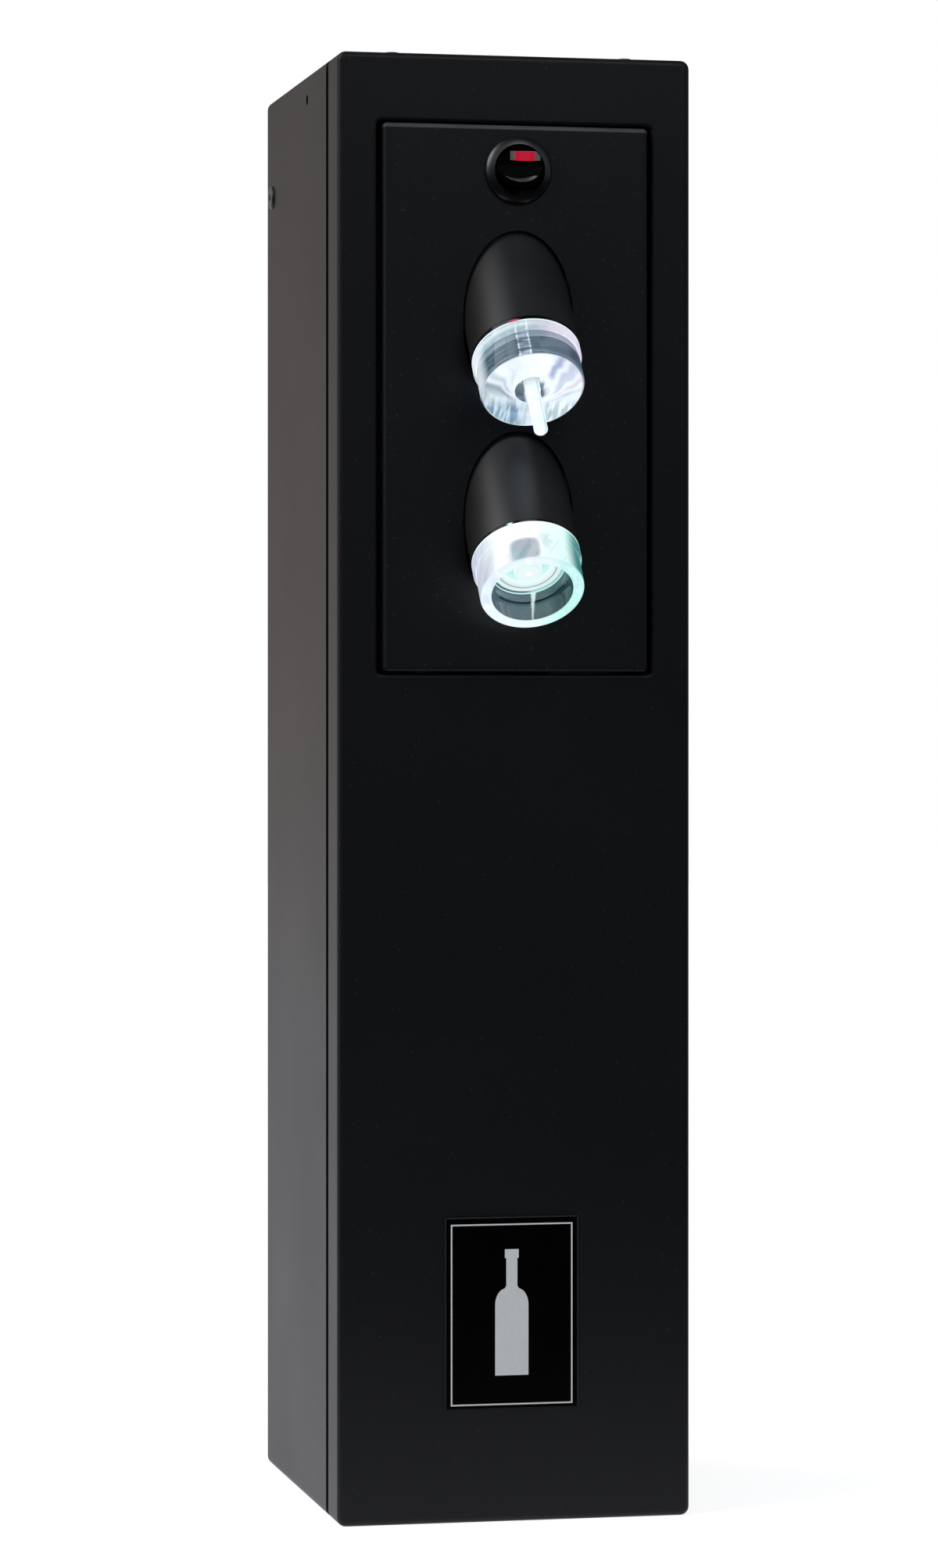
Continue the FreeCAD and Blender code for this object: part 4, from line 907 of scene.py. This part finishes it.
class COLUMN_OT_inside(bpy.types.Operator):
    """Finishes everything behind the sheet metal"""
    bl_idname = "column.inside"
    bl_label = "Finish the inside"

    def execute(self, context):
        zinc_plate("zinc").on("spine", "head_chassis", "base_plate", "service_shelf",
                              "foot_screws", "stud_nuts", "chassis_screws")
        turned_metal("brass", (0.5, 0.36, 0.16), (0.72, 0.56, 0.28)).on(
            "still_core", "sparkling_core", "still_core_nuts", "sparkling_core_nuts",
            "still_elbow", "sparkling_elbow", "hose_unions", "vacuum_valve", "gas_valve",
            "board_standoffs")
        wire = turned_metal("spring_wire", (0.42, 0.42, 0.43), (0.6, 0.6, 0.6))
        wire.on("still_spring", "sparkling_spring", "still_switch_lever",
                "sparkling_switch_lever", "switch_terminals", "rocker_pin")
        for head in (STILL, SPARKLING):
            pressed_spring(head, wire)
        moulded("bush_plastic", (0.7, 0.69, 0.65), (0.8, 0.79, 0.75)).on("still_bushes",
                                                                       "sparkling_bushes")
        moulded("inner_black", (0.02, 0.02, 0.021), (0.035, 0.035, 0.036)).on(
            "still_microswitch", "sparkling_microswitch", "board_components", "power_inlet",
            "vacuum_coil", "gas_coil")
        moulded("plunger_red", (0.4, 0.04, 0.03), (0.5, 0.06, 0.05)).on(
            "still_switch_plunger", "sparkling_switch_plunger")
        moulded("board_green", (0.01, 0.12, 0.04), (0.02, 0.18, 0.07), 0.35).on("control_board")
        moulded("hose_black", (0.015, 0.015, 0.016), (0.025, 0.025, 0.026), 0.45).on(
            "still_hose", "sparkling_hose", "vacuum_supply_hose", "gas_supply_hose")
        moulded("grommet_rubber", (0.015, 0.015, 0.015), (0.03, 0.03, 0.03), 0.7).on(
            "hose_grommet")
        return {"FINISHED"}


class COLUMN_OT_stage(bpy.types.Operator):
    """Sets the floor, surroundings, lamps and camera"""
    bl_idname = "column.stage"
    bl_label = "Set the stage"

    def execute(self, context):
        settings = context.scene.column_stage
        set_world(context.scene, settings)
        set_floor(settings)
        set_lamps(settings)
        set_camera(context.scene)
        context.scene.view_settings.view_transform = "Standard"
        return {"FINISHED"}


def set_world(scene, settings):
    """White for the eye; for reflections a pale backdrop, a softbox and a dark side and front."""
    world = bpy.data.worlds.new("studio")
    scene.world = world
    world.use_nodes = True
    sky = Graph(world.node_tree, "ShaderNodeOutputWorld")
    right, back, up = (sky.dot(sky.direction, axis) for axis in ((1, 0, 0), (0, 1, 0), (0, 0, 1)))
    backdrop = back.step(-0.1, 0.6) * (1 - right.step(0.25, 0.65)) * (1 - up.step(-0.25, 0.3) * 0.6)
    softbox = sky.dot(sky.direction, Vector((-0.8, 0.1, 0.6)).normalized()).step(0.76, 0.95)
    left = (0 - right).step(0.5, 0.95)
    front = (0 - back).step(0.2, 0.9) * up.step(0.0, 0.45)
    far_right = right.step(0.5, 0.95) * 0.2
    level = (backdrop * 0.9 + softbox * 1.3 + left * 0.2 + front * 0.56 + far_right + 0.03)
    tint = sky.colour(backdrop, (0.84, 0.93, 1.03), (1.03, 0.81, 0.63))
    around = sky.add("ShaderNodeBackground", {}, {"Color": tint,
                                                  "Strength": level * settings.daylight})
    seen = sky.add("ShaderNodeBackground", {}, {"Color": (1, 1, 1)})
    plain = sky.math("MAXIMUM", sky.ray("Camera"), sky.ray("Transmission"))
    sky.feed(sky.output.inputs["Surface"], sky.mix_shaders(plain, around.outputs[0],
                                                           seen.outputs[0]))


FLOOR_R = 6.0


def set_floor(settings):
    """Large pale disc that the camera sees as white apart from the column's shadow."""
    mesh = bpy.data.meshes.new("floor")
    shape = bmesh.new()
    bmesh.ops.create_circle(shape, cap_ends=True, radius=FLOOR_R, segments=TURN_SEGMENTS)
    shape.to_mesh(mesh)
    shape.free()
    floor = bpy.data.objects.new("floor", mesh)
    bpy.context.scene.collection.objects.link(floor)
    pale = Finish("pale_floor", {"Base Color": tuple(settings.floor), "Roughness": 0.9,
                                 "Specular IOR Level": 0.1, "Emission Strength": 0.8})
    camera = pale.ray("Camera")
    pale.set(Emission_Color=pale.colour(camera, (0, 0, 0), (1, 1, 1)))
    far = pale.math("SQRT", pale.dot(pale.place, (1, 0, 0)) * pale.dot(pale.place, (1, 0, 0))
                    + pale.dot(pale.place, (0, 1, 0)) * pale.dot(pale.place, (0, 1, 0)))
    before = 1 - pale.dot(pale.place, (0, 1, 0)).step(-0.1, 0.1)
    mirrored = pale.add("ShaderNodeEmission", {}, {"Color": pale.colour(
        far.step(0.12, 0.4) * before, (1.07, 1.07, 1.14), (0.003, 0.005, 0.01))}).outputs[0]
    pale.feed(pale.output.inputs["Surface"],
              pale.mix_shaders(pale.ray("Glossy"), pale.shader.outputs[0], mirrored))
    floor.data.materials.append(pale.material)


def lamp(name, size, power, at, target, colour=(1, 1, 1)):
    data = bpy.data.lights.new(name, "AREA")
    data.shape = "RECTANGLE"
    data.size, data.size_y = size
    data.energy = power
    data.color = colour
    light = bpy.data.objects.new(name, data)
    light.location = at
    light.rotation_mode = "QUATERNION"
    light.rotation_quaternion = (Vector(target) - Vector(at)).to_track_quat("-Z", "Y")
    bpy.context.scene.collection.objects.link(light)
    return light


def set_lamps(settings):
    lamp("softbox", size=(0.8, 0.8), power=settings.lamp, at=(-1.2, -0.3, 1.2),
         target=(0, 0, 0.3), colour=(1, 0.92, 0.84))
    lamp("top_light", size=(0.25, 0.25), power=settings.top_lamp, at=(0.12, -0.5, 0.8),
         target=(0.02, -0.07, 0.42))


CAMERA_AT = Vector((-0.3498, -1.6553, 0.2696))
CAMERA_LOOK = Vector((0.2063, 0.9785, 0))


def set_camera(scene):
    """Long lens from the left of the front, level with the middle of the column."""
    data = bpy.data.cameras.new("camera")
    data.sensor_width = 36.0
    data.lens = 111.46
    data.shift_y = -0.0441
    camera = bpy.data.objects.new("camera", data)
    camera.location = CAMERA_AT
    camera.rotation_mode = "QUATERNION"
    camera.rotation_quaternion = CAMERA_LOOK.to_track_quat("-Z", "Y")
    scene.collection.objects.link(camera)
    scene.camera = camera


class COLUMN_PT_panel(bpy.types.Panel):
    """Lists the column's settings and operators"""
    bl_idname = "COLUMN_PT_panel"
    bl_label = "Wine column"
    bl_space_type = "VIEW_3D"
    bl_region_type = "UI"
    bl_category = "Wine column"

    def draw(self, context):
        for operator in OPERATORS:
            self.layout.operator(operator.bl_idname)
        for name, group in SETTINGS.items():
            box = self.layout.box()
            for field in group.__annotations__:
                box.prop(getattr(context.scene, name), field)


OPERATORS = (COLUMN_OT_coat, COLUMN_OT_heads, COLUMN_OT_switch, COLUMN_OT_badge,
             COLUMN_OT_inside, COLUMN_OT_stage)
CLASSES = (*SETTINGS.values(), *OPERATORS, COLUMN_PT_panel)


def register():
    for cls in CLASSES:
        bpy.utils.register_class(cls)
    for name, group in SETTINGS.items():
        setattr(bpy.types.Scene, name, bpy.props.PointerProperty(type=group))


def unregister():
    for name in SETTINGS:
        delattr(bpy.types.Scene, name)
    for cls in reversed(CLASSES):
        bpy.utils.unregister_class(cls)


def main():
    register()
    for name in ("coat", "heads", "switch", "badge", "inside", "stage"):
        getattr(bpy.ops.column, name)()


if __name__ == "__main__":
    main()
